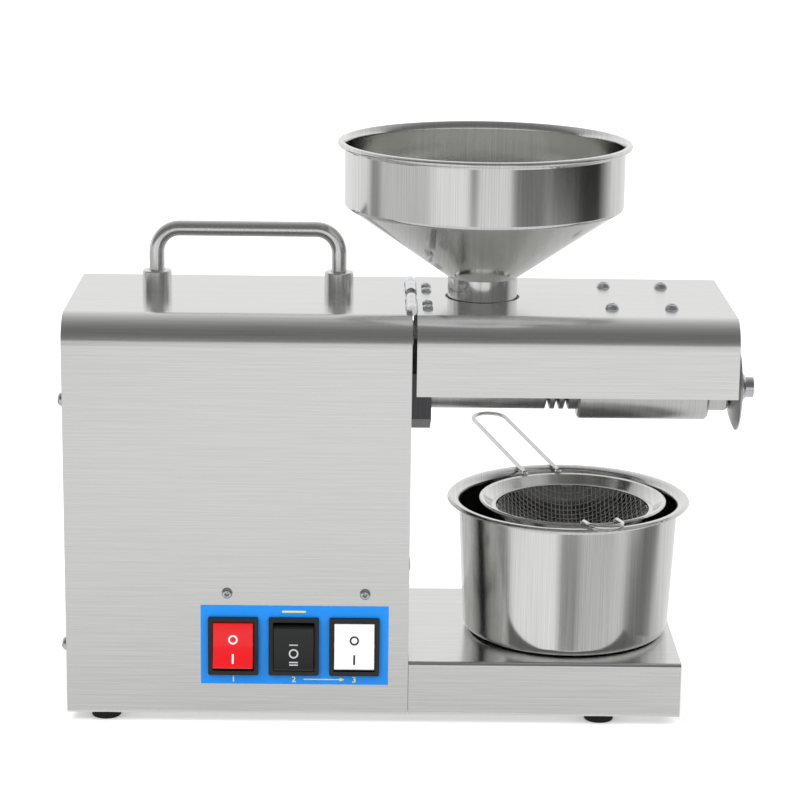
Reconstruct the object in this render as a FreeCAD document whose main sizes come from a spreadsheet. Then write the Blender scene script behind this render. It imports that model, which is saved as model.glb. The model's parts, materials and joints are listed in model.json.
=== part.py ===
import FreeCAD, Part
import math
import os
import Sketcher

# A screw oil press for the kitchen: a sheet-steel housing with motor and gearbox, a press barrel
# that stands out of its right side under a hinged cover, a hopper over the barrel, and a pot with
# a strainer on the base tray below it.
#
# Row frame, in millimetres: X runs along the press barrel away from the housing, the front with
# the switches faces -Y, Z is up, and the feet stand on Z = 0.

DIMENSIONS = {
    # where the machine stands in the row frame
    "left_face": -176.4, "mid_plane": -33.2,
    # housing: one bent sheet with two end panels and a bottom plate
    "housing_long": 175.0, "housing_deep": 124.0, "housing_top": 213.3, "housing_bend": 14.6,
    "sheet_thick": 1.2, "lip_wide": 22.0, "lip_bend": 2.0, "panel_gap": 0.3, "tab_wide": 14.0,
    "panel_screw_in": 5.0, "panel_screw_low": 41.0, "panel_screw_high": 170.0,
    "vent_long": 34.0, "vent_wide": 3.2, "vent_pitch": 9.0, "vent_low": 72.0,
    # feet
    "foot_tall": 5.0, "foot_dia": 16.0, "foot_left_in": 19.0, "foot_front_in": 12.0,
    "foot_right_in": 40.8, "foot_screw_head": 8.0, "foot_screw_dia": 4.0,
    "weld_nut_tall": 2.6,
    # base tray
    "tray_long": 140.4, "tray_top": 34.1, "tray_bend": 2.0, "seam_gap": 0.2,
    # control label, switches and the screws above them
    "label_long": 96.0, "label_tall": 42.1, "label_thick": 0.4, "label_shift": 0.4,
    "label_mid_z": 42.85, "switch_mid_out": 58.6, "switch_mid_z": 42.5, "switch_pitch": 30.95,
    "bezel_wide": 25.7, "bezel_tall": 30.8,
    "bezel_thick": 2.0, "bezel_frame": 2.3, "switch_deep": 22.0, "switch_wall": 1.2,
    "rocker_side_gap": 0.4, "rocker_tall": 23.4, "rocker_proud": 5.4, "rocker_dip": 3.9,
    "rocker_tilt": 11.0, "rocker_pivot_in": 2.0, "trunnion_dia": 3.0,
    "front_screw_shift": 1.05, "front_screw_apart": 70.3, "front_screw_z": 70.4,
    "front_screw_dia": 5.6,
    # carry handle
    "grip_rod_dia": 8.0, "grip_span": 94.7, "grip_left_x": 42.6, "grip_back": 8.0,
    "grip_rise": 32.7, "grip_bend": 12.0, "ferrule_dia": 15.2, "ferrule_tall": 10.7,
    "grip_nut_dia": 14.0, "grip_nut_tall": 6.5,
    # chamber cover and its hinges
    "cover_gap": 2.4, "cover_long": 161.2, "cover_skirt_z": 174.2, "cover_bend": 14.0,
    "hinge_pin_dia": 2.4, "hinge_knuckle_dia": 5.6, "hinge_rise": 0.9, "hinge_from_edge": 0.2,
    "hinge_long": 32.0, "hinge_apart": 44.0, "hinge_shift": -5.0, "leaf_wide": 13.0,
    "leaf_thick": 1.0, "leaf_gap": 0.15, "hinge_gap": 0.3, "pin_gap": 0.05,
    "hinge_screw_in": 5.6, "hinge_screw_apart": 12.0, "hinge_screw_dia": 5.3,
    "shield_long": 60.0, "shield_deep": 74.0, "shield_thick": 1.0, "shield_drop": 5.0,
    "shield_out": 114.8, "shield_screw_long": 30.4, "shield_screw_deep": 55.0,
    "cover_screw_dia": 7.0,
    # hopper
    "hopper_out": 36.8, "rim_out": 3.6, "rim_roll_dia": 2.6, "rim_top": 294.4,
    "band_dia": 144.0, "crease_z": 262.4, "crease_step": 2.4, "neck_dia": 36.2,
    "neck_top": 224.1, "neck_tip": 204.0, "hopper_thick": 1.0, "neck_hole_gap": 1.2,
    # press barrel, screw, heater and their end fittings
    "press_z": 166.2, "barrel_dia": 25.0, "barrel_out": 165.7, "screw_dia": 17.0,
    "screw_gap": 0.3, "screw_pitch": 15.0, "flight_thick": 3.0, "core_dia": 9.6,
    "core_end_dia": 14.6, "flight_start_out": 11.0, "flight_end_out": 151.0, "core_swell_long": 30.0,
    "shoulder_dia": 36.0, "shoulder_out": 3.6, "shoulder_thick": 4.0, "spigot_long": 3.6,
    "slot_first_out": 71.7, "slot_pitch": 4.85, "slot_deep": 3.3, "slot_wide": 2.6, "slit_wide": 0.8,
    "feed_top": 208.2, "feed_dia": 33.4, "feed_bore": 17.0, "feed_throat_dia": 24.0,
    "feed_flare_z": 192.0, "sleeve_out": 87.2, "sleeve_long": 68.0, "sleeve_dia": 34.4,
    "sleeve_bevel": 1.2, "fit_gap": 0.15, "nut_corner_dia": 49.2, "nut_out": 0.8,
    "nut_long": 10.0, "nut_face": 3.0, "nut_turned": 35.0,
    "disc_dia": 45.0, "disc_hub_dia": 14.6, "disc_gap": 0.6, "disc_thick": 7.0,
    "washer_dia": 17.0, "washer_thick": 2.0, "end_bolt_head": 10.7, "end_bolt_tall": 4.4,
    "end_bolt_dia": 5.0, "end_bolt_long": 16.0,
    "terminal_in": 8.0, "terminal_long": 18.0, "terminal_wide": 14.0, "terminal_tall": 9.0,
    "lead_dia": 5.0, "lead_bend": 26.0, "lead_back": 25.0, "grommet_dia": 12.0,
    # oil pot and strainer
    "pot_out": 84.4, "pot_top": 106.0, "pot_rim_dia": 128.0, "pot_dia": 115.4,
    "pot_foot_dia": 109.0, "pot_thick": 0.8, "pot_lip_bend": 3.6, "pot_lip_drop": 1.5,
    "pot_foot_bend": 4.0, "rest_gap": 0.3, "strainer_shift": 2.4, "strainer_rim_dia": 98.8,
    "mesh_dia": 83.0, "flange_drop": 4.5, "flange_thick": 0.8, "bowl_deep": 24.0,
    "mesh_thick": 0.7, "wire_dia": 2.3, "loop_wide": 21.6, "loop_long": 99.4,
    "loop_azimuth": 106.3, "wire_rise": 5.0, "ear_wide": 20.0, "ear_long": 17.5,
    "ear_azimuth": -77.0,
    # motor
    "motor_dia": 76.0, "motor_tail_in": 26.0, "stator_bore": 48.0,
    "bell_long": 18.0, "bell_rim": 5.0, "bell_wall": 4.0, "motor_face_in": 63.0,
    "rotor_gap": 0.6, "motor_shaft_dia": 10.0, "motor_bearing_dia": 26.0,
    "motor_bearing_long": 8.0, "through_bolt_dia": 3.2, "through_bolt_circle": 71.0,
    "fan_dia": 66.0, "fan_hub_dia": 20.0, "fan_long": 9.0, "fan_gap": 4.0, "shaft_tail": 2.0,
    "blade_thick": 1.6, "cradle_in": 8.0,
    # gearbox: two spur stages
    "gear_module": 1.0, "slow_module": 1.25, "gear_backlash": 0.16, "idler_back": 20.0,
    "case_long": 50.0, "case_wall": 4.0, "case_cover": 6.0, "case_gap": 1.5,
    "case_below_motor": 33.0, "case_corner": 12.0,
    "nose_dia": 40.0, "wheel_wide": 10.0, "pinion_wide": 12.0, "slow_wide": 12.0,
    "output_dia": 17.0, "output_tail_dia": 13.0, "output_bearing_dia": 35.0,
    "output_bearing_long": 10.0, "idler_dia": 10.0, "bush_dia": 16.0, "drive_hex": 11.0,
    "drive_hex_long": 20.0, "shaft_gap": 0.05, "boss_dia": 12.0, "case_screw_dia": 8.0,
    "low_head_tall": 0.9, "case_screw_long": 12.0,
    # electrics
    "board_long": 82.0, "board_tall": 44.0, "board_thick": 1.6, "board_in": 14.0,
    "capacitor_dia": 30.0, "capacitor_long": 52.0, "inlet_wide": 27.6, "inlet_tall": 20.2,
    "inlet_x": 40.0, "inlet_z": 42.0, "inlet_flange": 48.0, "inlet_deep": 20.0,
    "inlet_screw_apart": 40.0, "inlet_flange_thick": 3.0, "hole_gap": 0.15,
}
ADDENDUM = 0.75         # stub teeth, in modules, so that twelve-tooth pinions need no undercut
DEDENDUM = 1.0
PINION_TOOTH_COUNT = 12       # motor pinion and idler pinion
WHEEL_TOOTH_COUNT = 60        # idler wheel
OUTPUT_TOOTH_COUNT = 50        # output gear
PRESSURE_ANGLE = math.radians(20)
FLANK_POINT_COUNT = 4
HALF_CIRCLE = 1.999     # chord over radius from which an arc counts as a half circle
FAN_BLADE_COUNT = 7
OIL_SLOT_COUNT = 3
VENT_ROW_COUNT = 8

doc = FreeCAD.newDocument("ScrewOilPress")
PARTS = []


# ---------------------------------------------------------------- sizes and their sheet

class Size:
    """A length that knows its number and the sheet formula it comes from."""

    def __init__(self, number, formula):
        self.number = number
        self.formula = formula

    def __add__(self, other):
        return combined(self, other, "+")

    def __radd__(self, other):
        return combined(other, self, "+")

    def __sub__(self, other):
        return combined(self, other, "-")

    def __rsub__(self, other):
        return combined(other, self, "-")

    def __mul__(self, other):
        return combined(self, other, "*")

    def __rmul__(self, other):
        return combined(other, self, "*")

    def __truediv__(self, other):
        return combined(self, other, "/")

    def __neg__(self):
        return combined(0, self, "-")


def as_size(value):
    if isinstance(value, Size):
        return value
    return Size(float(value), "%.9g" % value)


def combined(first, second, sign):
    first = as_size(first)
    second = as_size(second)
    if sign == "+":
        number = first.number + second.number
    elif sign == "-":
        number = first.number - second.number
    elif sign == "*":
        number = first.number * second.number
    else:
        number = first.number / second.number
    return Size(number, "(%s %s %s)" % (first.formula, sign, second.formula))


class SizeNames:
    """Gives each dimension by its alias, as in d.housing_long."""

    def __getattr__(self, alias):
        return Size(DIMENSIONS[alias], "Sizes." + alias)


d = SizeNames()


def root(size):
    return Size(math.sqrt(size.number), "sqrt(%s)" % size.formula)


def make_sheet():
    sheet = doc.addObject("Spreadsheet::Sheet", "Sizes")
    for row, alias in enumerate(DIMENSIONS, start=1):
        sheet.set("A%d" % row, alias)
        sheet.set("B%d" % row, "%.9g" % DIMENSIONS[alias])
        sheet.setAlias("B%d" % row, alias)
    doc.recompute()


def bind(thing, path, size):
    thing.setExpression(path, as_size(size).formula)


# ---------------------------------------------------------------- bodies, sketches and features

TURNS = {"+Z": ((0, 0, 1), 0), "-Z": ((1, 0, 0), 180), "+X": ((0, 1, 0), 90),
         "-X": ((0, 1, 0), -90), "+Y": ((1, 0, 0), -90), "-Y": ((1, 0, 0), 90)}


def new_body(label, place=(0, 0, 0), rotation=None):
    """A body whose own zero stands at a place that the sheet gives."""
    body = doc.addObject("PartDesign::Body", label)
    body.Label = label
    if rotation:
        body.Placement = FreeCAD.Placement(FreeCAD.Vector(), rotation)
    for axis, size in zip("xyz", place):
        bind(body, "Placement.Base." + axis, size)
    PARTS.append(body)
    return body


def facing(direction):
    axis, angle = TURNS[direction]
    return FreeCAD.Rotation(FreeCAD.Vector(*axis), angle)


def new_sketch(body, plane, offset=0):
    sketch = body.newObject("Sketcher::SketchObject", body.Name + "_sketch")
    support = [item for item in body.Origin.OriginFeatures if item.Role == plane]
    sketch.AttachmentSupport = [(support[0], "")]
    sketch.MapMode = "FlatFace"
    bind(sketch, "AttachmentOffset.Base.z", offset)
    return sketch


def flat(point):
    return FreeCAD.Vector(as_size(point[0]).number, as_size(point[1]).number, 0)


def add_line(sketch, start, end):
    index = sketch.addGeometry(Part.LineSegment(flat(start), flat(end)), False)
    return index, 1, 2


def add_arc(sketch, start, end, radius, turn):
    """An arc of a given radius from start to end; turn is 1 for counter-clockwise, else -1."""
    begin = flat(start)
    finish = flat(end)
    size = as_size(radius).number
    chord = finish - begin
    rise = math.sqrt(max(size * size - chord.Length ** 2 / 4, 0))
    normal = FreeCAD.Vector(-chord.y, chord.x, 0).normalize()
    centre = (begin + finish) * 0.5 + normal * (rise * turn)
    angles = [math.atan2(p.y - centre.y, p.x - centre.x) for p in (begin, finish)]
    if turn < 0:
        angles.reverse()
    circle = Part.Circle(centre, FreeCAD.Vector(0, 0, 1), size)
    index = sketch.addGeometry(Part.ArcOfCircle(circle, angles[0], angles[1]), False)
    if chord.Length < size * HALF_CIRCLE:
        constraint = sketch.addConstraint(Sketcher.Constraint("Radius", index, size))
        bind(sketch, "Constraints[%d]" % constraint, radius)
    else:
        steep = 0 if abs(chord.x) < abs(chord.y) else 1
        middle = (as_size(start[steep]) + end[steep]) / 2
        constraint = sketch.addConstraint(Sketcher.Constraint(
            ("DistanceX", "DistanceY")[steep], index, 3, middle.number))
        bind(sketch, "Constraints[%d]" % constraint, middle)
    return (index, 1, 2) if turn > 0 else (index, 2, 1)


def pin_point(sketch, index, end, point):
    for kind, size in zip(("DistanceX", "DistanceY"), point):
        number = as_size(size).number
        constraint = sketch.addConstraint(Sketcher.Constraint(kind, index, end, number))
        bind(sketch, "Constraints[%d]" % constraint, size)


def add_path(sketch, points, closed=False):
    """Lines through points; a point (x, y, radius, turn) is reached by an arc instead."""
    edges = []
    first = 0 if closed else 1
    for number in range(first, len(points)):
        start = points[number - 1]
        end = points[number]
        if len(end) == 4:
            edges.append(add_arc(sketch, start, end, end[2], end[3]))
        else:
            edges.append(add_line(sketch, start, end))
    for number, edge in enumerate(edges):
        if closed or number + 1 < len(edges):
            after = edges[(number + 1) % len(edges)]
            sketch.addConstraint(Sketcher.Constraint("Coincident", edge[0], edge[2],
                                                     after[0], after[1]))
        pin_point(sketch, edge[0], edge[2], points[number + first][:2])
    if not closed:
        pin_point(sketch, edges[0][0], edges[0][1], points[0][:2])


def add_circle(sketch, x, y, dia):
    index = sketch.addGeometry(Part.Circle(flat((x, y)), FreeCAD.Vector(0, 0, 1),
                                           as_size(dia).number / 2), False)
    constraint = sketch.addConstraint(Sketcher.Constraint("Radius", index,
                                                          as_size(dia).number / 2))
    bind(sketch, "Constraints[%d]" % constraint, as_size(dia) / 2)
    pin_point(sketch, index, 3, (x, y))


def box_points(left, low, right, high):
    return [(left, low), (right, low), (right, high), (left, high)]


def round_box(left, low, right, high, corner):
    """A rectangle with round corners, counter-clockwise."""
    return [(left + corner, low, corner, 1), (right - corner, low),
            (right, low + corner, corner, 1), (right, high - corner),
            (right - corner, high, corner, 1), (left + corner, high),
            (left, high - corner, corner, 1), (left, low + corner)]


def profile(body, plane, offset=0, outlines=(), circles=()):
    sketch = new_sketch(body, plane, offset)
    for outline in outlines:
        add_path(sketch, outline, closed=True)
    for circle in circles:
        add_circle(sketch, *circle)
    return sketch


def pad(body, sketch, length, both=False, back=False):
    feature = body.newObject("PartDesign::Pad", body.Name + "_pad")
    feature.Profile = sketch
    bind(feature, "Length", length)
    feature.SideType = "Symmetric" if both else "One side"
    feature.Reversed = back
    return feature


def cut(body, plane, offset, depth, outlines=(), circles=()):
    """A pocket cut half of its depth to each side of a plane of the body."""
    feature = body.newObject("PartDesign::Pocket", body.Name + "_cut")
    feature.Profile = profile(body, plane, offset, outlines, circles)
    bind(feature, "Length", depth)
    feature.SideType = "Symmetric"
    return feature


def turn_profile(body, kind, plane, axis, points):
    sketch = new_sketch(body, plane)
    add_path(sketch, points, closed=True)
    feature = body.newObject("PartDesign::" + kind, body.Name + "_turn")
    feature.Profile = sketch
    feature.ReferenceAxis = (sketch, [axis])
    feature.Angle = 360
    return feature


def turned(label, place, points, about="Z", rotation=None):
    """A round piece. Points are (radius, height) about Z, or (station, radius) about X."""
    body = new_body(label, place, rotation)
    axis = "V_Axis" if about == "Z" else "H_Axis"
    turn_profile(body, "Revolution", "XZ_Plane", axis, points)
    return body


def ring(start, end, inner, outer):
    """The section of a plain ring about X."""
    return box_points(start, inner / 2, end, outer / 2)


def pattern(body, originals, first, second=None):
    """Repeats features along one or two of the body's own axes: (axis, length, count)."""
    feature = body.newObject("PartDesign::LinearPattern", body.Name + "_pattern")
    feature.Originals = originals
    for suffix, row in (("", first), ("2", second)):
        if row:
            axis = [item for item in body.Origin.OriginFeatures if item.Role == row[0]]
            setattr(feature, "Direction" + suffix, (axis[0], [""]))
            bind(feature, "Length" + suffix, row[1])
            setattr(feature, "Occurrences" + suffix, row[2])
    body.Tip = feature
    return feature


def wheel_pattern(body, originals, axis_role, count):
    feature = body.newObject("PartDesign::PolarPattern", body.Name + "_pattern")
    feature.Originals = originals
    axis = [item for item in body.Origin.OriginFeatures if item.Role == axis_role]
    feature.Axis = (axis[0], [""])
    feature.Angle = 360
    feature.Occurrences = count
    body.Tip = feature
    return feature


def piped(label, place, path_plane, profile_plane, start, points, dia, rotation=None):
    """A bent rod: a circle carried along a path of straight runs and tangent arcs."""
    body = new_body(label, place, rotation)
    spine = new_sketch(body, path_plane)
    add_path(spine, points)
    section = profile(body, profile_plane, 0, circles=[(start[0], start[1], dia)])
    feature = body.newObject("PartDesign::AdditivePipe", body.Name + "_pipe")
    feature.Profile = section
    feature.Spine = (spine, [])
    return body


def screws(label, place, direction, head_dia, shank_dia, shank_long, first=None, second=None,
           tall=None):
    """Pan-head screws in a row or a rectangle, each a solid of its own."""
    tall = tall or head_dia * 0.34
    head = head_dia / 2
    shank = shank_dia / 2
    points = [(0, -shank_long), (shank, -shank_long), (shank, 0), (head, 0), (head, tall * 0.35),
              (head * 0.55, tall, head * 0.7, 1), (0, tall)]
    body = turned(label, place, points, rotation=facing(direction))
    if first:
        pattern(body, [body.Tip], first, second)
    return body


# ---------------------------------------------------------------- housing, base and feet

HALF = d.housing_deep / 2
SHEET = d.sheet_thick
MACHINE = (d.left_face, d.mid_plane, 0)
PRESS_AXIS = (d.left_face, d.mid_plane, d.press_z)
FLOOR_TOP = d.foot_tall + SHEET * 2
TRAY_END = d.housing_long + d.tray_long
COVER_START = d.housing_long + d.cover_gap
FOOT_RIGHT_X = TRAY_END - d.foot_right_in
SHIELD_X = COVER_START + d.shield_out
HOPPER_X = d.housing_long + d.hopper_out
POT_X = d.housing_long + d.pot_out
STRAINER_X = POT_X + d.strainer_shift
NUT_X = d.housing_long + d.nut_out
SHOULDER_X = d.housing_long + d.shoulder_out
FLIGHT_START = d.housing_long + d.flight_start_out
FLIGHT_END = d.housing_long + d.flight_end_out
FIRST_SLOT = d.housing_long + d.slot_first_out
SLEEVE_X = d.housing_long + d.sleeve_out
BARREL_END = d.housing_long + d.barrel_out
MOTOR_FACE = d.housing_long - d.motor_face_in
SWITCH_X = d.housing_long - d.switch_mid_out
LABEL_X = SWITCH_X + d.label_shift
FRONT_SCREW_X = SWITCH_X + d.front_screw_shift
FOOT_SPOTS = [(x, y * side) for x in (d.foot_left_in, FOOT_RIGHT_X) for side in (-1, 1)
              for y in (HALF - d.foot_front_in,)]
PANEL_SCREW_Y = HALF - d.panel_screw_in
PANEL_SCREW_SPOTS = [(PANEL_SCREW_Y * side, z) for side in (-1, 1)
                     for z in (d.panel_screw_low, d.panel_screw_high)]
PANEL_SCREW_DIA = 3.0
PANEL_SCREW_LONG = SHEET + d.board_in + d.board_thick + 2
FAST_CENTRES = d.gear_module * (PINION_TOOTH_COUNT + WHEEL_TOOTH_COUNT) / 2
SLOW_CENTRES = d.slow_module * (PINION_TOOTH_COUNT + OUTPUT_TOOTH_COUNT) / 2
IDLER_Z = d.press_z - root(SLOW_CENTRES * SLOW_CENTRES - d.idler_back * d.idler_back)
MOTOR_Z = IDLER_Z - root(FAST_CENTRES * FAST_CENTRES - d.idler_back * d.idler_back)
HINGE_X = d.housing_long - d.hinge_from_edge
HINGE_Z = d.housing_top + d.hinge_rise
HINGE_MIDS = [d.hinge_shift - d.hinge_apart / 2, d.hinge_shift + d.hinge_apart / 2]
KNUCKLE = d.hinge_knuckle_dia / 2
TERMINAL_Z = d.press_z + d.sleeve_dia / 2 + d.fit_gap
LEAD_Z = TERMINAL_Z + d.terminal_tall / 2


def channel(deep, top, bend, thick, low, lip_bend):
    """Outline of a sheet bent over the top with lips turned in along its lower edges."""
    inner = bend - thick
    half = deep / 2
    lip = half - d.lip_wide
    return [(-lip, low), (-half + lip_bend, low), (-half, low + lip_bend, lip_bend, -1),
            (-half, top - bend), (-half + bend, top, bend, -1), (half - bend, top),
            (half, top - bend, bend, -1), (half, low + lip_bend),
            (half - lip_bend, low, lip_bend, -1), (lip, low), (lip, low + thick),
            (half - thick, low + thick), (half - thick, top - bend),
            (half - bend, top - thick, inner, 1), (-half + bend, top - thick),
            (-half + thick, top - bend, inner, 1), (-half + thick, low + thick),
            (-lip, low + thick)]


def panel_outline(gap, low):
    """Outline of an end panel that sits inside the housing's bent sheet."""
    half = HALF - SHEET - gap
    top = d.housing_top - SHEET - gap
    bend = d.housing_bend - SHEET - gap
    return [(-half, low), (half, low), (half, top - bend), (half - bend, top, bend, 1),
            (-half + bend, top), (-half, top - bend, bend, 1)]


def hinge_notches():
    """The two stretches along Y that free the knuckles of both hinges."""
    half = d.hinge_long / 2 + d.hinge_gap
    return [(mid - half, mid + half) for mid in HINGE_MIDS]


def housing_shell():
    body = new_body("housing_shell", MACHINE)
    section = channel(d.housing_deep, d.housing_top, d.housing_bend, SHEET, d.foot_tall,
                      d.lip_bend)
    pad(body, profile(body, "YZ_Plane", 0, [section]), d.housing_long)
    tabs = [box_points(side_y[0], d.foot_tall + d.lip_wide, side_y[1],
                       d.housing_top - d.housing_bend * 2)
            for side_y in ((-HALF + SHEET / 2, -HALF + d.tab_wide),
                           (HALF - d.tab_wide, HALF - SHEET / 2))]
    pad(body, profile(body, "YZ_Plane", SHEET * 2, tabs), SHEET, back=True)
    front = HALF - SHEET / 2
    cut(body, "XZ_Plane", front, SHEET * 4, switch_openings(),
        [(x, d.front_screw_z, PANEL_SCREW_DIA + d.hole_gap * 2) for x in front_screw_spots()])
    cut(body, "XZ_Plane", -front, SHEET * 4,
        [box_points(d.inlet_x - d.inlet_wide / 2 - d.hole_gap,
                    d.inlet_z - d.inlet_tall / 2 - d.hole_gap,
                    d.inlet_x + d.inlet_wide / 2 + d.hole_gap,
                    d.inlet_z + d.inlet_tall / 2 + d.hole_gap)],
        [(x, d.inlet_z, PANEL_SCREW_DIA + d.hole_gap * 2) for x in inlet_screw_spots()])
    cut(body, "YZ_Plane", SHEET * 1.5, SHEET * 2, circles=[
        (y, z, PANEL_SCREW_DIA + d.hole_gap * 2) for y, z in PANEL_SCREW_SPOTS])
    cut(body, "XY_Plane", d.foot_tall, SHEET * 4, circles=[
        (x, y, d.foot_screw_dia + d.hole_gap * 2) for x, y in FOOT_SPOTS[:2]])
    cut(body, "XY_Plane", d.housing_top, SHEET * 4, circles=[
        (x, d.grip_back, d.grip_rod_dia + d.hole_gap * 2) for x in grip_spots()])
    edge = HINGE_X - KNUCKLE - d.hinge_gap
    cut(body, "XY_Plane", d.housing_top, SHEET * 4,
        [box_points(edge, low, d.housing_long + SHEET, high)
         for low, high in hinge_notches()])


def left_end_panel():
    body = new_body("left_end_panel", MACHINE)
    outline = panel_outline(d.panel_gap, FLOOR_TOP + d.panel_gap)
    pad(body, profile(body, "YZ_Plane", 0, [outline]), SHEET)
    cut(body, "YZ_Plane", 0, SHEET * 4, circles=[
        (y, z, PANEL_SCREW_DIA + d.hole_gap * 2) for y, z in PANEL_SCREW_SPOTS])
    slot = round_box(-d.vent_long - d.vent_pitch / 2, d.vent_low, -d.vent_pitch / 2,
                     d.vent_low + d.vent_wide, d.vent_wide * 0.49)
    vent = cut(body, "YZ_Plane", 0, SHEET * 4, [slot])
    pattern(body, [vent], ("Y_Axis", d.vent_long + d.vent_pitch, 2),
            ("Z_Axis", d.vent_pitch * (VENT_ROW_COUNT - 1), VENT_ROW_COUNT))


def right_end_panel():
    body = new_body("right_end_panel", (d.left_face + d.housing_long - SHEET, d.mid_plane, 0))
    outline = panel_outline(d.panel_gap, FLOOR_TOP + d.panel_gap)
    pad(body, profile(body, "YZ_Plane", 0, [outline]), SHEET)
    cut(body, "YZ_Plane", 0, SHEET * 4, circles=[
        (0, d.press_z, d.nose_dia + d.panel_gap * 2),
        (d.lead_back, LEAD_Z, d.grommet_dia + d.hole_gap * 2)] + [
        (y, z, PANEL_SCREW_DIA + d.hole_gap * 2) for y, z in case_screw_spots()])
    low = HINGE_Z - KNUCKLE - d.leaf_thick - d.hinge_gap * 2
    cut(body, "YZ_Plane", 0, SHEET * 4, [box_points(start, low, end, d.housing_top)
                                         for start, end in hinge_notches()])


def bottom_plate():
    body = new_body("bottom_plate", (d.left_face, d.mid_plane, d.foot_tall + SHEET))
    half = HALF - SHEET - d.panel_gap
    pad(body, profile(body, "XY_Plane", 0, [
        box_points(SHEET + d.panel_gap, -half, TRAY_END - SHEET - d.panel_gap, half)]), SHEET)
    pad(body, profile(body, "XY_Plane", SHEET, circles=[
        (x, y, d.foot_screw_head) for x, y in FOOT_SPOTS]), d.weld_nut_tall)
    cut(body, "XY_Plane", 0, SHEET * 2 + d.weld_nut_tall * 4, circles=[
        (x, y, d.foot_screw_dia + d.hole_gap * 2) for x, y in FOOT_SPOTS])
    slot = round_box(d.foot_left_in * 2, -d.vent_long / 2, d.foot_left_in * 2 + d.vent_wide,
                     d.vent_long / 2, d.vent_wide * 0.49)
    vent = cut(body, "XY_Plane", 0, SHEET * 4, [slot])
    pattern(body, [vent], ("X_Axis", d.vent_pitch * (VENT_ROW_COUNT - 1), VENT_ROW_COUNT))


def base_tray():
    start = d.housing_long + d.seam_gap
    body = new_body("base_tray", (d.left_face + start, d.mid_plane, 0))
    section = channel(d.housing_deep, d.tray_top, d.tray_bend, SHEET, d.foot_tall, d.lip_bend)
    pad(body, profile(body, "YZ_Plane", 0, [section]), d.tray_long - d.seam_gap)
    end = box_points(-HALF + SHEET / 2, d.foot_tall + SHEET * 1.5, HALF - SHEET / 2,
                     d.tray_top - SHEET / 2)
    pad(body, profile(body, "YZ_Plane", d.tray_long - d.seam_gap, [end]), SHEET, back=True)
    cut(body, "XY_Plane", d.foot_tall, SHEET * 4, circles=[
        (x - start, y, d.foot_screw_dia + d.hole_gap * 2) for x, y in FOOT_SPOTS[2:]])


def feet():
    place = (d.left_face + d.foot_left_in, d.mid_plane - HALF + d.foot_front_in, 0)
    first = ("X_Axis", FOOT_RIGHT_X - d.foot_left_in, 2)
    second = ("Y_Axis", d.housing_deep - d.foot_front_in * 2, 2)
    foot = d.foot_dia / 2
    head = d.foot_screw_head / 2 + d.hole_gap
    shank = d.foot_screw_dia / 2 + d.hole_gap
    seat = d.foot_tall / 2
    body = turned("rubber_feet", place, [
        (head, 0), (foot - 1.2, 0), (foot - 0.4, 0.8, 0.8, 1), (foot, d.foot_tall),
        (shank, d.foot_tall), (shank, seat), (head, seat)])
    pattern(body, [body.Tip], first, second)
    tip = d.foot_tall + SHEET * 2
    head = d.foot_screw_head / 2
    shank = d.foot_screw_dia / 2
    body = turned("foot_screws", place, [
        (0, 0.6), (head * 0.8, 0.6), (head, 1.2), (head, seat), (shank, seat),
        (shank, tip + d.weld_nut_tall + 1), (0, tip + d.weld_nut_tall + 1)])
    pattern(body, [body.Tip], first, second)


def end_panel_screws():
    place = (d.left_face, d.mid_plane - PANEL_SCREW_Y, d.panel_screw_low)
    screws("end_panel_screws", place, "-X", 7.0, PANEL_SCREW_DIA, SHEET * 4,
           ("X_Axis", d.panel_screw_high - d.panel_screw_low, 2),
           ("Y_Axis", PANEL_SCREW_Y * 2, 2))


# ---------------------------------------------------------------- control label and switches

SWITCHES = (("red", -1, 1), ("black", 0, 0), ("white", 1, 1))
BODY_WIDE = d.bezel_wide - d.bezel_frame * 2 + d.switch_wall * 2
BODY_TALL = d.bezel_tall - d.bezel_frame * 2 + d.switch_wall * 2
SWITCH_FRONT = HALF + d.label_thick


def switch_x(number):
    return SWITCH_X + d.switch_pitch * number


def switch_openings():
    half_wide = BODY_WIDE / 2 + d.hole_gap
    half_tall = BODY_TALL / 2 + d.hole_gap
    return [box_points(switch_x(number) - half_wide, d.switch_mid_z - half_tall,
                       switch_x(number) + half_wide, d.switch_mid_z + half_tall)
            for _, number, _ in SWITCHES]


def front_screw_spots():
    half = d.front_screw_apart / 2
    return [FRONT_SCREW_X - half, FRONT_SCREW_X + half]


def control_label():
    body = new_body("control_label", (d.left_face, d.mid_plane - HALF, 0))
    outline = box_points(LABEL_X - d.label_long / 2, d.label_mid_z - d.label_tall / 2,
                         LABEL_X + d.label_long / 2, d.label_mid_z + d.label_tall / 2)
    pad(body, profile(body, "XZ_Plane", 0, [outline]), d.label_thick)
    cut(body, "XZ_Plane", 0, d.label_thick * 4, switch_openings())


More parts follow.
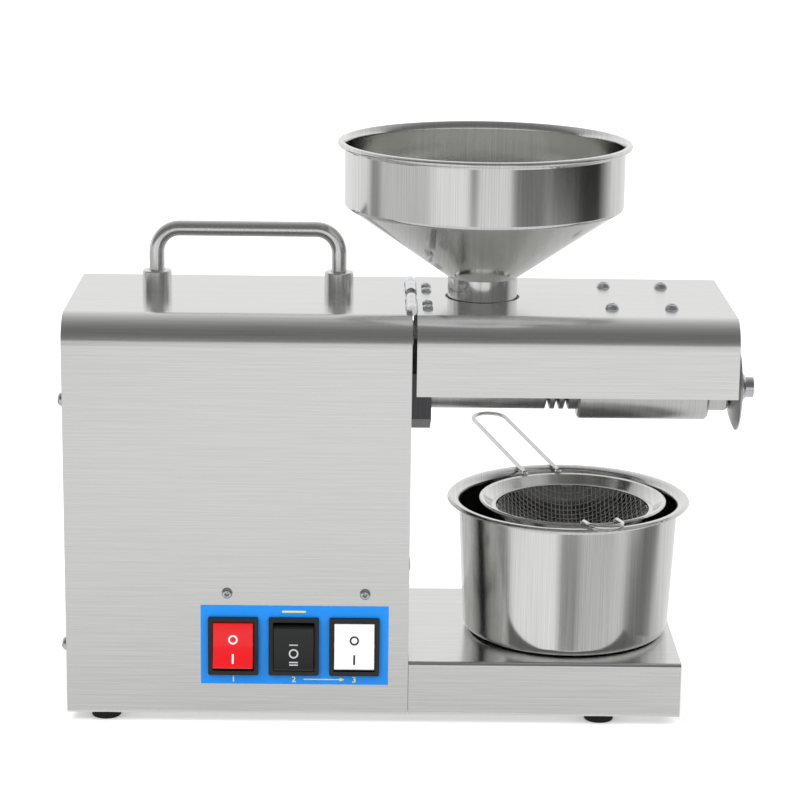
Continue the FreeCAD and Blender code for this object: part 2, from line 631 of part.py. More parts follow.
def switch_bodies():
    """Bezel, box behind the panel with a well for the rocker, and blades, three times."""
    place = (d.left_face + switch_x(-1), d.mid_plane - SWITCH_FRONT, d.switch_mid_z)
    body = new_body("switch_bodies", place)
    wide = d.bezel_wide / 2
    tall = d.bezel_tall / 2
    bezel = pad(body, profile(body, "XZ_Plane", 0, [
        round_box(-wide, -tall, wide, tall, d.bezel_frame * 0.4)]), d.bezel_thick)
    box = pad(body, profile(body, "XZ_Plane", 0, [
        box_points(-BODY_WIDE / 2, -BODY_TALL / 2, BODY_WIDE / 2, BODY_TALL / 2)]),
        d.switch_deep, back=True)
    blades = [box_points(x - 0.4, z - 2.4, x + 0.4, z + 2.4)
              for x in (-5.0, 5.0) for z in (-8.0, 0, 8.0)]
    terminals = pad(body, profile(body, "XZ_Plane", -d.switch_deep, blades), 8, back=True)
    well_wide = BODY_WIDE / 2 - d.switch_wall
    well_tall = BODY_TALL / 2 - d.switch_wall
    well_deep = d.switch_deep * 0.6
    well = cut(body, "XZ_Plane", 0, well_deep * 2,
               [box_points(-well_wide, -well_tall, well_wide, well_tall)])
    seats = cut(body, "YZ_Plane", 0, BODY_WIDE + d.switch_wall, circles=[
        (d.rocker_pivot_in, 0, d.trunnion_dia + d.hole_gap)])
    pattern(body, [bezel, box, terminals, well, seats], ("X_Axis", d.switch_pitch * 2, 3))


def rocker(colour, number, tilted):
    """A rocker with a dished face, stored tilted with its upper end pressed in when it is off."""
    place = (d.left_face + switch_x(number), d.mid_plane - SWITCH_FRONT + d.rocker_pivot_in,
             d.switch_mid_z)
    tilt = FreeCAD.Rotation(FreeCAD.Vector(1, 0, 0), -DIMENSIONS["rocker_tilt"] * tilted)
    body = new_body("rocker_" + colour, place, tilt)
    half = d.rocker_tall / 2
    face = d.rocker_proud + d.rocker_pivot_in
    dip = d.rocker_dip + d.rocker_pivot_in
    outline = [(5.0, -half * 0.62), (5.0, half * 0.62), (-d.rocker_pivot_in, half),
               (-face + 1, half), (-face, half - 1, 1, 1), (-dip, 0, d.rocker_tall * 2, -1),
               (-face, -half + 1, d.rocker_tall * 2, -1), (-face + 1, -half, 1, 1),
               (-d.rocker_pivot_in, -half)]
    wide = BODY_WIDE - d.switch_wall * 2 - d.rocker_side_gap * 2
    pad(body, profile(body, "YZ_Plane", 0, [outline]), wide, both=True)
    pad(body, profile(body, "YZ_Plane", 0, circles=[(0, 0, d.trunnion_dia)]),
        BODY_WIDE - d.switch_wall * 0.5, both=True)


def panel_screws():
    """The two screws over the label and the two of the power inlet: four alike in one group."""
    front = (d.left_face + front_screw_spots()[0], d.mid_plane - HALF, d.front_screw_z)
    screws("front_screws", front, "-Y", d.front_screw_dia, PANEL_SCREW_DIA, PANEL_SCREW_LONG,
           ("X_Axis", d.front_screw_apart, 2))
    back = (d.left_face + inlet_screw_spots()[0], d.mid_plane + HALF + d.inlet_flange_thick,
            d.inlet_z)
    screws("inlet_screws", back, "+Y", d.front_screw_dia, PANEL_SCREW_DIA, PANEL_SCREW_LONG,
           ("X_Axis", d.inlet_screw_apart, 2))
    group = doc.addObject("Part::Compound", "panel_screws")
    group.Links = [PARTS.pop(), PARTS.pop()]
    PARTS.append(group)


# ---------------------------------------------------------------- carry handle

def grip_spots():
    return [d.grip_left_x, d.grip_left_x + d.grip_span]


def carry_handle():
    place = (d.left_face + d.grip_left_x, d.mid_plane + d.grip_back, d.housing_top)
    low = -d.grip_nut_tall - SHEET - 0.5
    top = d.grip_rise
    bend = d.grip_bend
    piped("carry_handle", place, "XZ_Plane", "XY_Plane", (0, 0), [
        (0, 0), (0, top - bend), (bend, top, bend, -1), (d.grip_span - bend, top),
        (d.grip_span, top - bend, bend, -1), (d.grip_span, 0)], d.grip_rod_dia)
    body = PARTS[-1]
    studs = profile(body, "XY_Plane", 0, circles=[
        (0, 0, d.grip_rod_dia), (d.grip_span, 0, d.grip_rod_dia)])
    pad(body, studs, -low, back=True)
    rod = d.grip_rod_dia / 2 + d.hole_gap
    ferrule = d.ferrule_dia / 2
    body = turned("handle_ferrules", place, [
        (rod, 0), (ferrule, 0), (ferrule, d.ferrule_tall - 0.8),
        (ferrule - 0.8, d.ferrule_tall, 0.8, 1), (rod, d.ferrule_tall)])
    pattern(body, [body.Tip], ("X_Axis", d.grip_span, 2))
    body = new_body("handle_nuts", (place[0], place[1], place[2] - SHEET - d.grip_nut_tall))
    corner = d.grip_nut_dia / 2
    outline = hexagon(corner, 0)
    nut = pad(body, profile(body, "XY_Plane", 0, [outline],
                            [(0, 0, d.grip_rod_dia + d.hole_gap * 2)]), d.grip_nut_tall)
    pattern(body, [nut], ("X_Axis", d.grip_span, 2))


def hexagon(corner, turn):
    """Six corners on a circle, the first at a given angle from the sketch's x axis."""
    angles = [math.radians(turn + 60 * number) for number in range(6)]
    return [(corner * round(math.cos(a), 9), corner * round(math.sin(a), 9)) for a in angles]


# ---------------------------------------------------------------- cover hinges and cover

def hinge_leaf(label, side, knuckles):
    """Rolled knuckles on a leaf plate for both hinges; side -1 is the housing's, 1 the cover's."""
    body = new_body(label, (d.left_face + HINGE_X, d.mid_plane, HINGE_Z))
    third = d.hinge_long / 3
    leaf_top = -d.hinge_rise - SHEET - d.leaf_gap
    clear = KNUCKLE + d.hinge_gap
    first = HINGE_MIDS[0] - d.hinge_long / 2
    features = []
    for number in knuckles:
        start = first + third * number + d.hinge_gap / 2
        ring_sketch = profile(body, "XZ_Plane", -start, circles=[
            (0, 0, d.hinge_knuckle_dia), (0, 0, d.hinge_pin_dia + d.pin_gap * 2)])
        features.append(pad(body, ring_sketch, third - d.hinge_gap, back=True))
        root_plate = profile(body, "XZ_Plane", -start, [
            box_points(side * clear, leaf_top - d.leaf_thick, side * KNUCKLE * 0.3, leaf_top)])
        features.append(pad(body, root_plate, third - d.hinge_gap, back=True))
    plate = profile(body, "XZ_Plane", -first, [
        box_points(side * (clear - d.hinge_gap / 2), leaf_top - d.leaf_thick,
                   side * (clear + d.leaf_wide), leaf_top)])
    features.append(pad(body, plate, d.hinge_long, back=True))
    pattern(body, features, ("Y_Axis", d.hinge_apart, 2))
    mids = [(side * (d.hinge_screw_in + d.cover_gap + d.hinge_from_edge), mid + step)
            for mid in HINGE_MIDS
            for step in (-d.hinge_screw_apart / 2, d.hinge_screw_apart / 2)]
    body.Tip = cut(body, "XY_Plane", leaf_top, d.leaf_thick * 6, circles=[
        (x, y, PANEL_SCREW_DIA + d.hole_gap * 2) for x, y in mids])


def hinge_pins():
    place = (d.left_face + HINGE_X, d.mid_plane + HINGE_MIDS[0] - d.hinge_long / 2, HINGE_Z)
    body = new_body("hinge_pins", place)
    pin = pad(body, profile(body, "XZ_Plane", 0, circles=[(0, 0, d.hinge_pin_dia)]),
              d.hinge_long, back=True)
    pattern(body, [pin], ("Y_Axis", d.hinge_apart, 2))


def hinge_screws():
    spot = d.hinge_screw_in + d.cover_gap + d.hinge_from_edge
    first = HINGE_MIDS[0] - d.hinge_screw_apart / 2
    screws("hinge_screws", (d.left_face + HINGE_X + spot, d.mid_plane + first, d.housing_top),
           "+Z", d.hinge_screw_dia, PANEL_SCREW_DIA, SHEET + d.leaf_gap + d.leaf_thick + 2,
           ("Y_Axis", d.hinge_screw_apart, 2), ("Y_Axis", d.hinge_apart, 2))


def shield_screw_spots():
    return [(SHIELD_X + d.shield_screw_long / 2 * i, d.shield_screw_deep / 2 * j)
            for i in (-1, 1) for j in (-1, 1)]


def chamber_cover():
    """A sheet bent over the barrel, with cut-outs for the hopper neck and the knuckles."""
    body = new_body("chamber_cover", (d.left_face + COVER_START, d.mid_plane, 0))
    bend = d.cover_bend
    top = d.housing_top
    inner = bend - SHEET
    low = d.cover_skirt_z
    section = [(-HALF, low), (-HALF, top - bend), (-HALF + bend, top, bend, -1),
               (HALF - bend, top), (HALF, top - bend, bend, -1), (HALF, low),
               (HALF - SHEET, low), (HALF - SHEET, top - bend),
               (HALF - bend, top - SHEET, inner, 1), (-HALF + bend, top - SHEET),
               (-HALF + SHEET, top - bend, inner, 1), (-HALF + SHEET, low)]
    pad(body, profile(body, "YZ_Plane", 0, [section]), d.cover_long)
    hinge_spot = d.hinge_screw_in
    holes = [(hinge_spot, mid + step, PANEL_SCREW_DIA + d.hole_gap * 2) for mid in HINGE_MIDS
             for step in (-d.hinge_screw_apart / 2, d.hinge_screw_apart / 2)]
    holes += [(x - COVER_START, y, PANEL_SCREW_DIA + d.hole_gap * 2)
              for x, y in shield_screw_spots()]
    holes.append((HOPPER_X - COVER_START, 0, d.neck_dia + d.neck_hole_gap * 2))
    cut(body, "XY_Plane", top, SHEET * 4, circles=holes)
    reach = HINGE_X + KNUCKLE + d.hinge_gap - COVER_START
    cut(body, "XY_Plane", top, SHEET * 4, [box_points(-SHEET, start, reach, end)
                                           for start, end in hinge_notches()])


def heat_shield():
    """A plate under the cover, over the heater, held off the cover by dimpled spacers."""
    top = d.housing_top - SHEET - d.shield_drop
    body = new_body("heat_shield", (d.left_face, d.mid_plane, top))
    half = d.shield_deep / 2
    left = SHIELD_X - d.shield_long / 2
    right = SHIELD_X + d.shield_long / 2
    pad(body, profile(body, "XY_Plane", 0, [round_box(left, -half, right, half, 4)]),
        d.shield_thick, back=True)
    pad(body, profile(body, "XY_Plane", -d.shield_thick / 2, circles=[
        (x, y, 8) for x, y in shield_screw_spots()]), d.shield_drop + d.shield_thick / 2)
    cut(body, "XY_Plane", 0, d.shield_drop * 4, circles=[
        (x, y, PANEL_SCREW_DIA + d.hole_gap * 2) for x, y in shield_screw_spots()])


def cover_screws():
    x, y = shield_screw_spots()[0]
    screws("cover_screws", (d.left_face + x, d.mid_plane + y, d.housing_top), "+Z",
           d.cover_screw_dia, PANEL_SCREW_DIA, SHEET + d.shield_drop + d.shield_thick + 2,
           ("X_Axis", d.shield_screw_long, 2), ("Y_Axis", d.shield_screw_deep, 2))


# ---------------------------------------------------------------- hopper

def hopper():
    """Spun hopper: rolled rim, straight band, crease, cone and neck, of one thickness."""
    thick = d.hopper_thick
    roll = d.rim_roll_dia / 2
    band = d.band_dia / 2
    rim = band + d.rim_out
    neck = d.neck_dia / 2
    step = d.crease_step
    cone = band - step
    turned("hopper", (d.left_face + HOPPER_X, d.mid_plane, 0), [
        (neck - thick, d.neck_tip), (neck, d.neck_tip), (neck, d.neck_top),
        (cone, d.crease_z - step), (band, d.crease_z, step * 1.2, 1),
        (band, d.rim_top - roll * 3), (rim - roll * 2, d.rim_top - roll * 2, roll * 3, -1),
        (rim - roll, d.rim_top - roll * 2), (rim - roll, d.rim_top, roll, 1),
        (rim - roll * 2.2, d.rim_top), (band - thick, d.rim_top - roll * 3, roll * 4, 1),
        (band - thick, d.crease_z + thick * 0.4),
        (cone - thick * 0.7, d.crease_z - step + thick * 0.7),
        (neck - thick, d.neck_top + thick * 0.5)])


# ---------------------------------------------------------------- press barrel and its fittings

BARREL = d.barrel_dia / 2
BORE = d.screw_dia / 2 + d.screw_gap
SHAFT = d.output_dia / 2
DISC_X = BARREL_END + d.disc_gap
WASHER_X = DISC_X + d.disc_thick
BOLT_X = WASHER_X + d.washer_thick


def press_barrel():
    """Bored tube with a shoulder, a feed throat on top and grooved oil slots underneath."""
    body = new_body("press_barrel", PRESS_AXIS)
    bevel = 1.0
    groove = d.slot_wide / 2
    start = SHOULDER_X
    outline = [(start - d.spigot_long, BORE), (BARREL_END, BORE),
               (BARREL_END, BARREL - bevel), (BARREL_END - bevel, BARREL)]
    for number in reversed(range(OIL_SLOT_COUNT)):
        middle = FIRST_SLOT + d.slot_pitch * number
        outline += [(middle + groove, BARREL), (middle + 0.3, BARREL - d.slot_deep),
                    (middle - 0.3, BARREL - d.slot_deep, 0.3, -1), (middle - groove, BARREL)]
    outline += [(start + d.shoulder_thick, BARREL),
                (start + d.shoulder_thick, d.shoulder_dia / 2), (start, d.shoulder_dia / 2),
                (start, BARREL), (start - d.spigot_long, BARREL)]
    turn_profile(body, "Revolution", "XZ_Plane", "H_Axis", outline)
    feed(body)
    slits = [box_points(FIRST_SLOT + d.slot_pitch * number - d.slit_wide / 2, -BORE * 0.8,
                        FIRST_SLOT + d.slot_pitch * number + d.slit_wide / 2, BORE * 0.8)
             for number in range(OIL_SLOT_COUNT)]
    slit = body.newObject("PartDesign::Pocket", "press_barrel_slits")
    slit.Profile = profile(body, "XY_Plane", 0, slits)
    bind(slit, "Length", BARREL + 1)


def feed(body):
    """The flared feed throat on top of the barrel, turned about the hopper's own axis."""
    rise = d.feed_top - d.press_z
    flare = d.feed_flare_z - d.press_z
    mouth = d.feed_dia / 2
    throat = d.feed_throat_dia / 2
    bore = d.feed_bore / 2
    centre = HOPPER_X
    outer = profile(body, "XY_Plane", BORE + 0.6, circles=[(centre, 0, d.feed_throat_dia)])
    pad(body, outer, flare - BORE - 0.6)
    sections = [profile(body, "XY_Plane", flare, circles=[(centre, 0, throat * 2)]),
                profile(body, "XY_Plane", flare + mouth - throat, circles=[(centre, 0, mouth * 2)])]
    loft = body.newObject("PartDesign::AdditiveLoft", "press_barrel_flare")
    loft.Profile = sections[0]
    loft.Sections = [sections[1]]
    loft.Ruled = True
    collar = profile(body, "XY_Plane", flare + mouth - throat, circles=[(centre, 0, mouth * 2)])
    pad(body, collar, rise - flare - mouth + throat)
    cone = [profile(body, "XY_Plane", flare, circles=[(centre, 0, bore * 2)]),
            profile(body, "XY_Plane", rise, circles=[(centre, 0, (mouth - 1.4) * 2)])]
    mouth_cut = body.newObject("PartDesign::SubtractiveLoft", "press_barrel_mouth")
    mouth_cut.Profile = cone[0]
    mouth_cut.Sections = [cone[1]]
    mouth_cut.Ruled = True
    hole = body.newObject("PartDesign::Pocket", "press_barrel_feed")
    hole.Profile = profile(body, "XY_Plane", flare, circles=[(centre, 0, bore * 2)])
    bind(hole, "Length", flare)


def press_screw():
    """The auger: its core swells towards the outlet while the flight keeps its outside size."""
    body = new_body("press_screw", PRESS_AXIS)
    core = d.core_dia / 2
    swell = d.core_end_dia / 2
    tail = SHOULDER_X - d.spigot_long + 1
    end = DISC_X
    bore = d.end_bolt_dia / 2 + d.hole_gap
    journal = d.screw_dia / 2
    turn_profile(body, "Revolution", "XZ_Plane", "H_Axis", [
        (tail, 0), (end - d.end_bolt_long, 0), (end - d.end_bolt_long, bore), (end, bore),
        (end, swell), (FLIGHT_END, swell), (FLIGHT_START + d.core_swell_long, core),
        (FLIGHT_START + 2, core), (FLIGHT_START, journal), (tail, journal)])
    hexed = profile(body, "YZ_Plane", tail, [hexagon_across(d.drive_hex)])
    pad(body, hexed, d.drive_hex_long, back=True)
    rib = new_sketch(body, "XZ_Plane")
    outer = d.screw_dia / 2
    thin = d.flight_thick / 2
    start = FLIGHT_START
    add_path(rib, [(start - thin, core * 0.8), (start + thin, core * 0.8),
                   (start + thin * 0.7, outer), (start - thin * 0.7, outer)], closed=True)
    flight = body.newObject("PartDesign::AdditiveHelix", "press_screw_flight")
    flight.Profile = rib
    flight.ReferenceAxis = (rib, ["H_Axis"])
    flight.Mode = "pitch-height-angle"
    bind(flight, "Pitch", d.screw_pitch)
    bind(flight, "Height", FLIGHT_END - FLIGHT_START)
    flight.Reversed = False


def hexagon_across(flats):
    """A hexagon given by its width across flats, one flat up."""
    corner = flats / 2 * round(1 / math.cos(math.radians(30)), 9)
    return hexagon(corner, 0)


def heater_sleeve():
    bore = BARREL + d.fit_gap
    outer = d.sleeve_dia / 2
    start = SLEEVE_X
    end = start + d.sleeve_long
    bevel = d.sleeve_bevel
    turned("heater_sleeve", PRESS_AXIS, [
        (start, bore), (end, bore), (end, outer - bevel), (end - bevel, outer),
        (start + bevel, outer), (start, outer - bevel)], about="X")
    body = new_body("heater_terminal", (d.left_face + start, d.mid_plane, TERMINAL_Z))
    half = d.terminal_wide / 2
    left = d.terminal_in
    pad(body, profile(body, "XY_Plane", 0, [
        round_box(left, -half, left + d.terminal_long, half, 2)]), d.terminal_tall)


def locking_nut():
    """The hexagon nut that holds the barrel's shoulder against the gearbox nose."""
    body = new_body("locking_nut", (d.left_face + NUT_X, d.mid_plane, d.press_z))
    outline = hexagon(d.nut_corner_dia / 2, DIMENSIONS["nut_turned"])
    pad(body, profile(body, "YZ_Plane", 0, [outline]), d.nut_long)
    cut(body, "YZ_Plane", 0, (d.nut_long - d.nut_face) * 2, circles=[
        (0, 0, d.nose_dia + d.panel_gap * 2)])
    cut(body, "YZ_Plane", d.nut_long, d.nut_face * 4, circles=[
        (0, 0, d.barrel_dia + d.panel_gap * 2)])


def end_fittings():
    """Flared disc, washer and bolt on the screw's outlet end."""
    bore = d.end_bolt_dia / 2 + d.hole_gap
    disc = d.disc_dia / 2
    hub = d.disc_hub_dia / 2
    end = DISC_X + d.disc_thick
    turned("end_flare_disc", PRESS_AXIS, [
        (DISC_X, bore), (end, bore), (end, hub * 1.3), (DISC_X + d.disc_thick * 0.72, disc),
        (DISC_X + d.disc_thick * 0.58, disc, 0.6, 1), (DISC_X, hub, disc * 1.6, 1)], about="X")
    washer = d.washer_dia / 2
    turned("end_washer", PRESS_AXIS, [
        (WASHER_X, bore), (BOLT_X, bore), (BOLT_X, washer * 0.72),
        (WASHER_X + 0.5, washer, washer, -1), (WASHER_X, washer)], about="X")
    body = new_body("end_bolt", (d.left_face + BOLT_X, d.mid_plane, d.press_z))
    pad(body, profile(body, "YZ_Plane", 0, circles=[(0, 0, d.end_bolt_head)]), d.end_bolt_tall)
    cut(body, "YZ_Plane", d.end_bolt_tall, d.end_bolt_tall, [hexagon_across(d.end_bolt_dia)])
    shank = d.washer_thick + d.disc_thick + d.end_bolt_long - 1
    pad(body, profile(body, "YZ_Plane", 0, circles=[(0, 0, d.end_bolt_dia)]), shank, back=True)


def heater_lead():
    """The heater's sleeved lead with its moulded grommet, from the end panel to the terminal."""
    start_x = d.housing_long - SHEET * 4
    end_x = SLEEVE_X + d.terminal_in - d.panel_gap
    side = d.lead_back
    long = end_x - start_x
    bend = d.lead_bend
    half = side / 2
    over = root(bend * side - half * half)
    last = long - d.lead_dia
    body = new_body("heater_lead", (d.left_face + start_x, d.mid_plane + side, LEAD_Z))
    spine = new_sketch(body, "XY_Plane")
    add_path(spine, [(0, 0), (last - over * 2, 0), (last - over, -half, bend, -1),
                     (last, -side, bend, 1), (long, -side)])
    pipe = body.newObject("PartDesign::AdditivePipe", "heater_lead_pipe")
    pipe.Profile = profile(body, "YZ_Plane", 0, circles=[(0, 0, d.lead_dia)])
    pipe.Spine = (spine, [])
    outer = d.grommet_dia / 2
    panel = SHEET * 3
    gap = d.hole_gap
    turn_profile(body, "Revolution", "XZ_Plane", "H_Axis", [
        (panel - 2, 0), (panel + SHEET + 2, 0), (panel + SHEET + 2, outer),
        (panel + SHEET + gap, outer + 1.6), (panel + SHEET + gap, outer),
        (panel - gap, outer), (panel - gap, outer + 1.6), (panel - 2, outer)])


# ---------------------------------------------------------------- oil pot and strainer

STRAINER_AXIS = (d.left_face + STRAINER_X, d.mid_plane, 0)
WIRE_START = d.strainer_rim_dia / 2 - d.wire_dia * 0.4
WIRE_SLOPE = round(math.tan(math.radians(DIMENSIONS["wire_rise"])), 9)
WIRE_START_Z = (d.pot_top + d.rest_gap + d.wire_dia / 2
                - (d.pot_dia / 2 + d.pot_lip_bend - WIRE_START) * WIRE_SLOPE)
STRAINER_TOP = WIRE_START_Z - d.wire_dia / 2 - d.fit_gap


def oil_pot():
    """Drawn pot with slightly sloping sides and a wide rolled lip."""
    thick = d.pot_thick
    floor = d.tray_top + d.rest_gap
    foot = d.pot_foot_dia / 2
    side = d.pot_dia / 2
    rim = d.pot_rim_dia / 2
    bend = d.pot_foot_bend
    lip = d.pot_lip_bend
    drop = d.pot_lip_drop
    top = d.pot_top
    crest = rim - drop * 1.2
    turned("oil_pot", (d.left_face + POT_X, d.mid_plane, 0), [
        (0, floor), (foot - bend, floor), (foot, floor + bend, bend, 1),
        (side, top - thick - lip), (side + lip, top - thick, lip, -1), (crest, top - thick),
        (rim - thick * 0.8, top - drop), (rim, top - drop + thick * 0.6, thick * 0.6, 1),
        (crest + thick * 0.3, top, drop * 2, 1), (side + lip, top),
        (side - thick, top - thick - lip, lip + thick, 1),
        (foot - thick, floor + bend), (foot - bend, floor + thick, bend - thick, -1),
        (0, floor + thick)])


def strainer():
    """Sloping flange, wire-cloth bowl, long wire handle and a rest ear, welded together."""
    rim = d.strainer_rim_dia / 2
    mesh = d.mesh_dia / 2
    top = STRAINER_TOP
    low = top - d.flange_drop
    thick = d.flange_thick
    turned("strainer_rim", STRAINER_AXIS, [
        (mesh - 1, low - thick), (mesh + 1.5, low - thick), (rim - 1.6, top - thick * 2),
        (rim, top - thick, 1.8, 1), (rim - thick, top, thick, 1), (rim - 2.4, top - thick * 0.4),
        (mesh + 1.2, low), (mesh - 1, low)])
    bowl = d.bowl_deep
    inner = mesh - 1 - d.fit_gap
    ball = (inner * inner + bowl * bowl) / (bowl * 2)
    skin = d.mesh_thick
    rise = low - thick / 2
    turned("strainer_mesh", STRAINER_AXIS, [
        (0, rise - bowl), (inner, rise, ball, 1), (inner - skin, rise),
        (0, rise - bowl + skin, ball - skin * 0.9, -1)])
    wire_loop("strainer_handle", d.loop_wide, d.loop_long, DIMENSIONS["loop_azimuth"])
    wire_loop("strainer_ear", d.ear_wide, d.ear_long, DIMENSIONS["ear_azimuth"])


def wire_loop(label, wide, long, azimuth):
    """A wire that leaves the rim, turns in a half circle and comes back beside itself."""
    tilt = FreeCAD.Rotation(FreeCAD.Vector(0, 1, 0), -DIMENSIONS["wire_rise"])
    swing = FreeCAD.Rotation(FreeCAD.Vector(0, 0, 1), azimuth)
    along = round(math.cos(math.radians(azimuth)), 9)
    across = round(math.sin(math.radians(azimuth)), 9)
    place = (d.left_face + STRAINER_X + WIRE_START * along,
             d.mid_plane + WIRE_START * across, WIRE_START_Z)
    half = (wide - d.wire_dia) / 2
    run = long - half - d.wire_dia / 2
    piped(label, place, "XY_Plane", "YZ_Plane", (-half, 0), [
        (0, -half), (run, -half), (run, half, half, 1), (0, half)], d.wire_dia, swing * tilt)


# ---------------------------------------------------------------- motor

MOTOR_AXIS = (d.left_face, d.mid_plane, MOTOR_Z)
MOTOR_START = d.motor_tail_in
STATOR_START = MOTOR_START + d.bell_long
STATOR_END = MOTOR_FACE - d.bell_long
STATOR_LONG = STATOR_END - STATOR_START
FAN_X = MOTOR_START - d.fan_gap - d.fan_long
ROTOR = d.stator_bore / 2 - d.rotor_gap
MOTOR_SHAFT = d.motor_shaft_dia / 2
SEAT = d.motor_bearing_dia / 2
BOLT_OUT = d.through_bolt_circle / 2
BOLT_SPOTS = [(BOLT_OUT, 0), (0, BOLT_OUT), (-BOLT_OUT, 0), (0, -BOLT_OUT)]


def bolt_holes():
    return [(y, z, d.through_bolt_dia + d.hole_gap * 2) for y, z in BOLT_SPOTS]


def bell(label, open_x, side):
    """A cup-shaped end bell with a bearing seat; side 1 has its wall to the right."""
    body = new_body(label, (d.left_face + open_x, d.mid_plane, MOTOR_Z))
    outer = d.motor_dia / 2
    inner = outer - d.bell_rim
    long = d.bell_long
    wall = long - d.bell_wall
    seat = SEAT + d.shaft_gap
    hub = seat + 3
    shaft = MOTOR_SHAFT + 1.5
    depth = wall - d.motor_bearing_long
    points = [(0, inner), (wall, inner), (wall, hub), (depth, hub), (depth, seat),
              (wall, seat), (wall, shaft), (long, shaft), (long, outer), (0, outer)]
    mirrored = [(x * side, radius) for x, radius in points]
    turn_profile(body, "Revolution", "XZ_Plane", "H_Axis", mirrored)
    cut(body, "YZ_Plane", long / 2 * side, long * 2, circles=bolt_holes())


def motor():
    outer = d.motor_dia / 2
    body = new_body("motor_stator", (d.left_face + STATOR_START, d.mid_plane, MOTOR_Z))
    core = profile(body, "YZ_Plane", 0, circles=[(0, 0, d.motor_dia), (0, 0, d.stator_bore)])
    pad(body, core, STATOR_LONG)
    cut(body, "YZ_Plane", STATOR_LONG / 2, STATOR_LONG * 2, circles=bolt_holes())
    coil = d.stator_bore / 2 + 1.5
    full = outer - d.bell_rim - 1.5
    long = STATOR_LONG
    for start, side in ((0, -1), (long, 1)):
        turn_profile(body, "Revolution", "XZ_Plane", "H_Axis", [
            (start, coil), (start + side * 6, coil), (start + side * 6, full - 2),
            (start + side * 4, full, 2, side), (start, full)])
    bell("motor_front_bell", STATOR_END, 1)
    bell("motor_rear_bell", STATOR_START, -1)
    turned("motor_rotor", MOTOR_AXIS, ring(STATOR_START, STATOR_END,
                                           d.motor_shaft_dia + d.shaft_gap * 2, ROTOR * 2), "X")
    turned("motor_shaft", MOTOR_AXIS, [
        (FAN_X - d.shaft_tail, 0), (PINION_X + d.pinion_wide + 1, 0),
        (PINION_X + d.pinion_wide + 1, MOTOR_SHAFT * 0.7), (PINION_X - 1, MOTOR_SHAFT * 0.7),
        (PINION_X - 1, MOTOR_SHAFT), (FAN_X - d.shaft_tail, MOTOR_SHAFT)], about="X")
    seat = MOTOR_SHAFT + d.shaft_gap
    bearing_x = MOTOR_START + d.bell_wall
    body = turned("motor_bearings", MOTOR_AXIS, [
        (bearing_x, seat), (bearing_x + d.motor_bearing_long, seat),
        (bearing_x + d.motor_bearing_long, SEAT), (bearing_x, SEAT)], about="X")
    pattern(body, [body.Tip], ("X_Axis", STATOR_END + d.bell_long - d.bell_wall
                               - d.motor_bearing_long - bearing_x, 2))
    bolt = d.through_bolt_dia / 2
    place = (d.left_face + MOTOR_START, d.mid_plane, MOTOR_Z - BOLT_OUT)
    quarter = FreeCAD.Rotation(FreeCAD.Vector(1, 0, 0), 45)
    apart = d.through_bolt_circle * round(math.sqrt(0.5), 9)
    body = turned("motor_through_bolts", place, [
        (-3, 0), (-3, bolt * 1.8), (0, bolt * 1.8), (0, bolt),
        (MOTOR_FACE - MOTOR_START + d.case_cover - 1, bolt),
        (MOTOR_FACE - MOTOR_START + d.case_cover - 1, 0)], "X", quarter)
    pattern(body, [body.Tip], ("Y_Axis", apart, 2), ("Z_Axis", apart, 2))
    fan()
    cradle()


def fan():
    """Hub and blades that draw air in through the left panel."""
    body = new_body("cooling_fan", (d.left_face + FAN_X, d.mid_plane, MOTOR_Z))
    hub = d.fan_hub_dia / 2
    bore = MOTOR_SHAFT + d.shaft_gap
    turn_profile(body, "Revolution", "XZ_Plane", "H_Axis",
                 ring(0, d.fan_long, bore * 2, d.fan_hub_dia))
    tip = d.fan_dia / 2
    thick = d.blade_thick
    blade_sketch = profile(body, "YZ_Plane", 0, [[
        (hub * 0.8, 0), (tip, tip * 0.25, tip, 1), (tip - thick * 0.3, tip * 0.25 + thick),
        (hub * 0.8, thick, tip, -1)]])
    blade = pad(body, blade_sketch, d.fan_long)
    wheel_pattern(body, [blade], "X_Axis", FAN_BLADE_COUNT)


def cradle():
    """A pressed saddle that carries the motor from the bottom plate."""
    floor = d.foot_tall + SHEET * 2
    body = new_body("motor_cradle", (d.left_face + STATOR_START + d.cradle_in, d.mid_plane, 0))
    saddle = d.motor_dia / 2 + d.panel_gap
    half = d.motor_dia * 0.36
    top = MOTOR_Z - root(saddle * saddle - half * half)
    outline = [(-half, floor), (half, floor), (half, top), (-half, top, saddle, -1)]
    pad(body, profile(body, "YZ_Plane", 0, [outline]),
        STATOR_LONG - d.cradle_in * 2)
    inner = half - 3
    cut(body, "YZ_Plane", STATOR_LONG / 2, STATOR_LONG * 2, [
        box_points(-inner, floor + 3, inner, MOTOR_Z - saddle - 4)])


# ---------------------------------------------------------------- gearbox

COVER_X = MOTOR_FACE
CASE_X = COVER_X + d.case_cover
CASE_END = CASE_X + d.case_long
PINION_X = CASE_X + 2
WHEEL_X = PINION_X + (d.pinion_wide - d.wheel_wide) / 2
IDLER_PINION_X = WHEEL_X + d.wheel_wide
OUTPUT_GEAR_X = IDLER_PINION_X + 4
FAST_TIP = d.gear_module * (WHEEL_TOOTH_COUNT / 2 + ADDENDUM)
SLOW_TIP = d.slow_module * (OUTPUT_TOOTH_COUNT / 2 + ADDENDUM)
CASE_FRONT = SLOW_TIP + d.case_gap + d.case_wall
CASE_BACK = d.idler_back + FAST_TIP + d.case_gap + d.case_wall
CASE_HIGH = d.press_z + SLOW_TIP + d.case_gap + d.case_wall
CASE_LOW = MOTOR_Z - d.case_below_motor
BEARING_X = SHOULDER_X - d.spigot_long - d.output_bearing_long - 1
CASE_SCREW_IN = d.boss_dia / 2 + 1


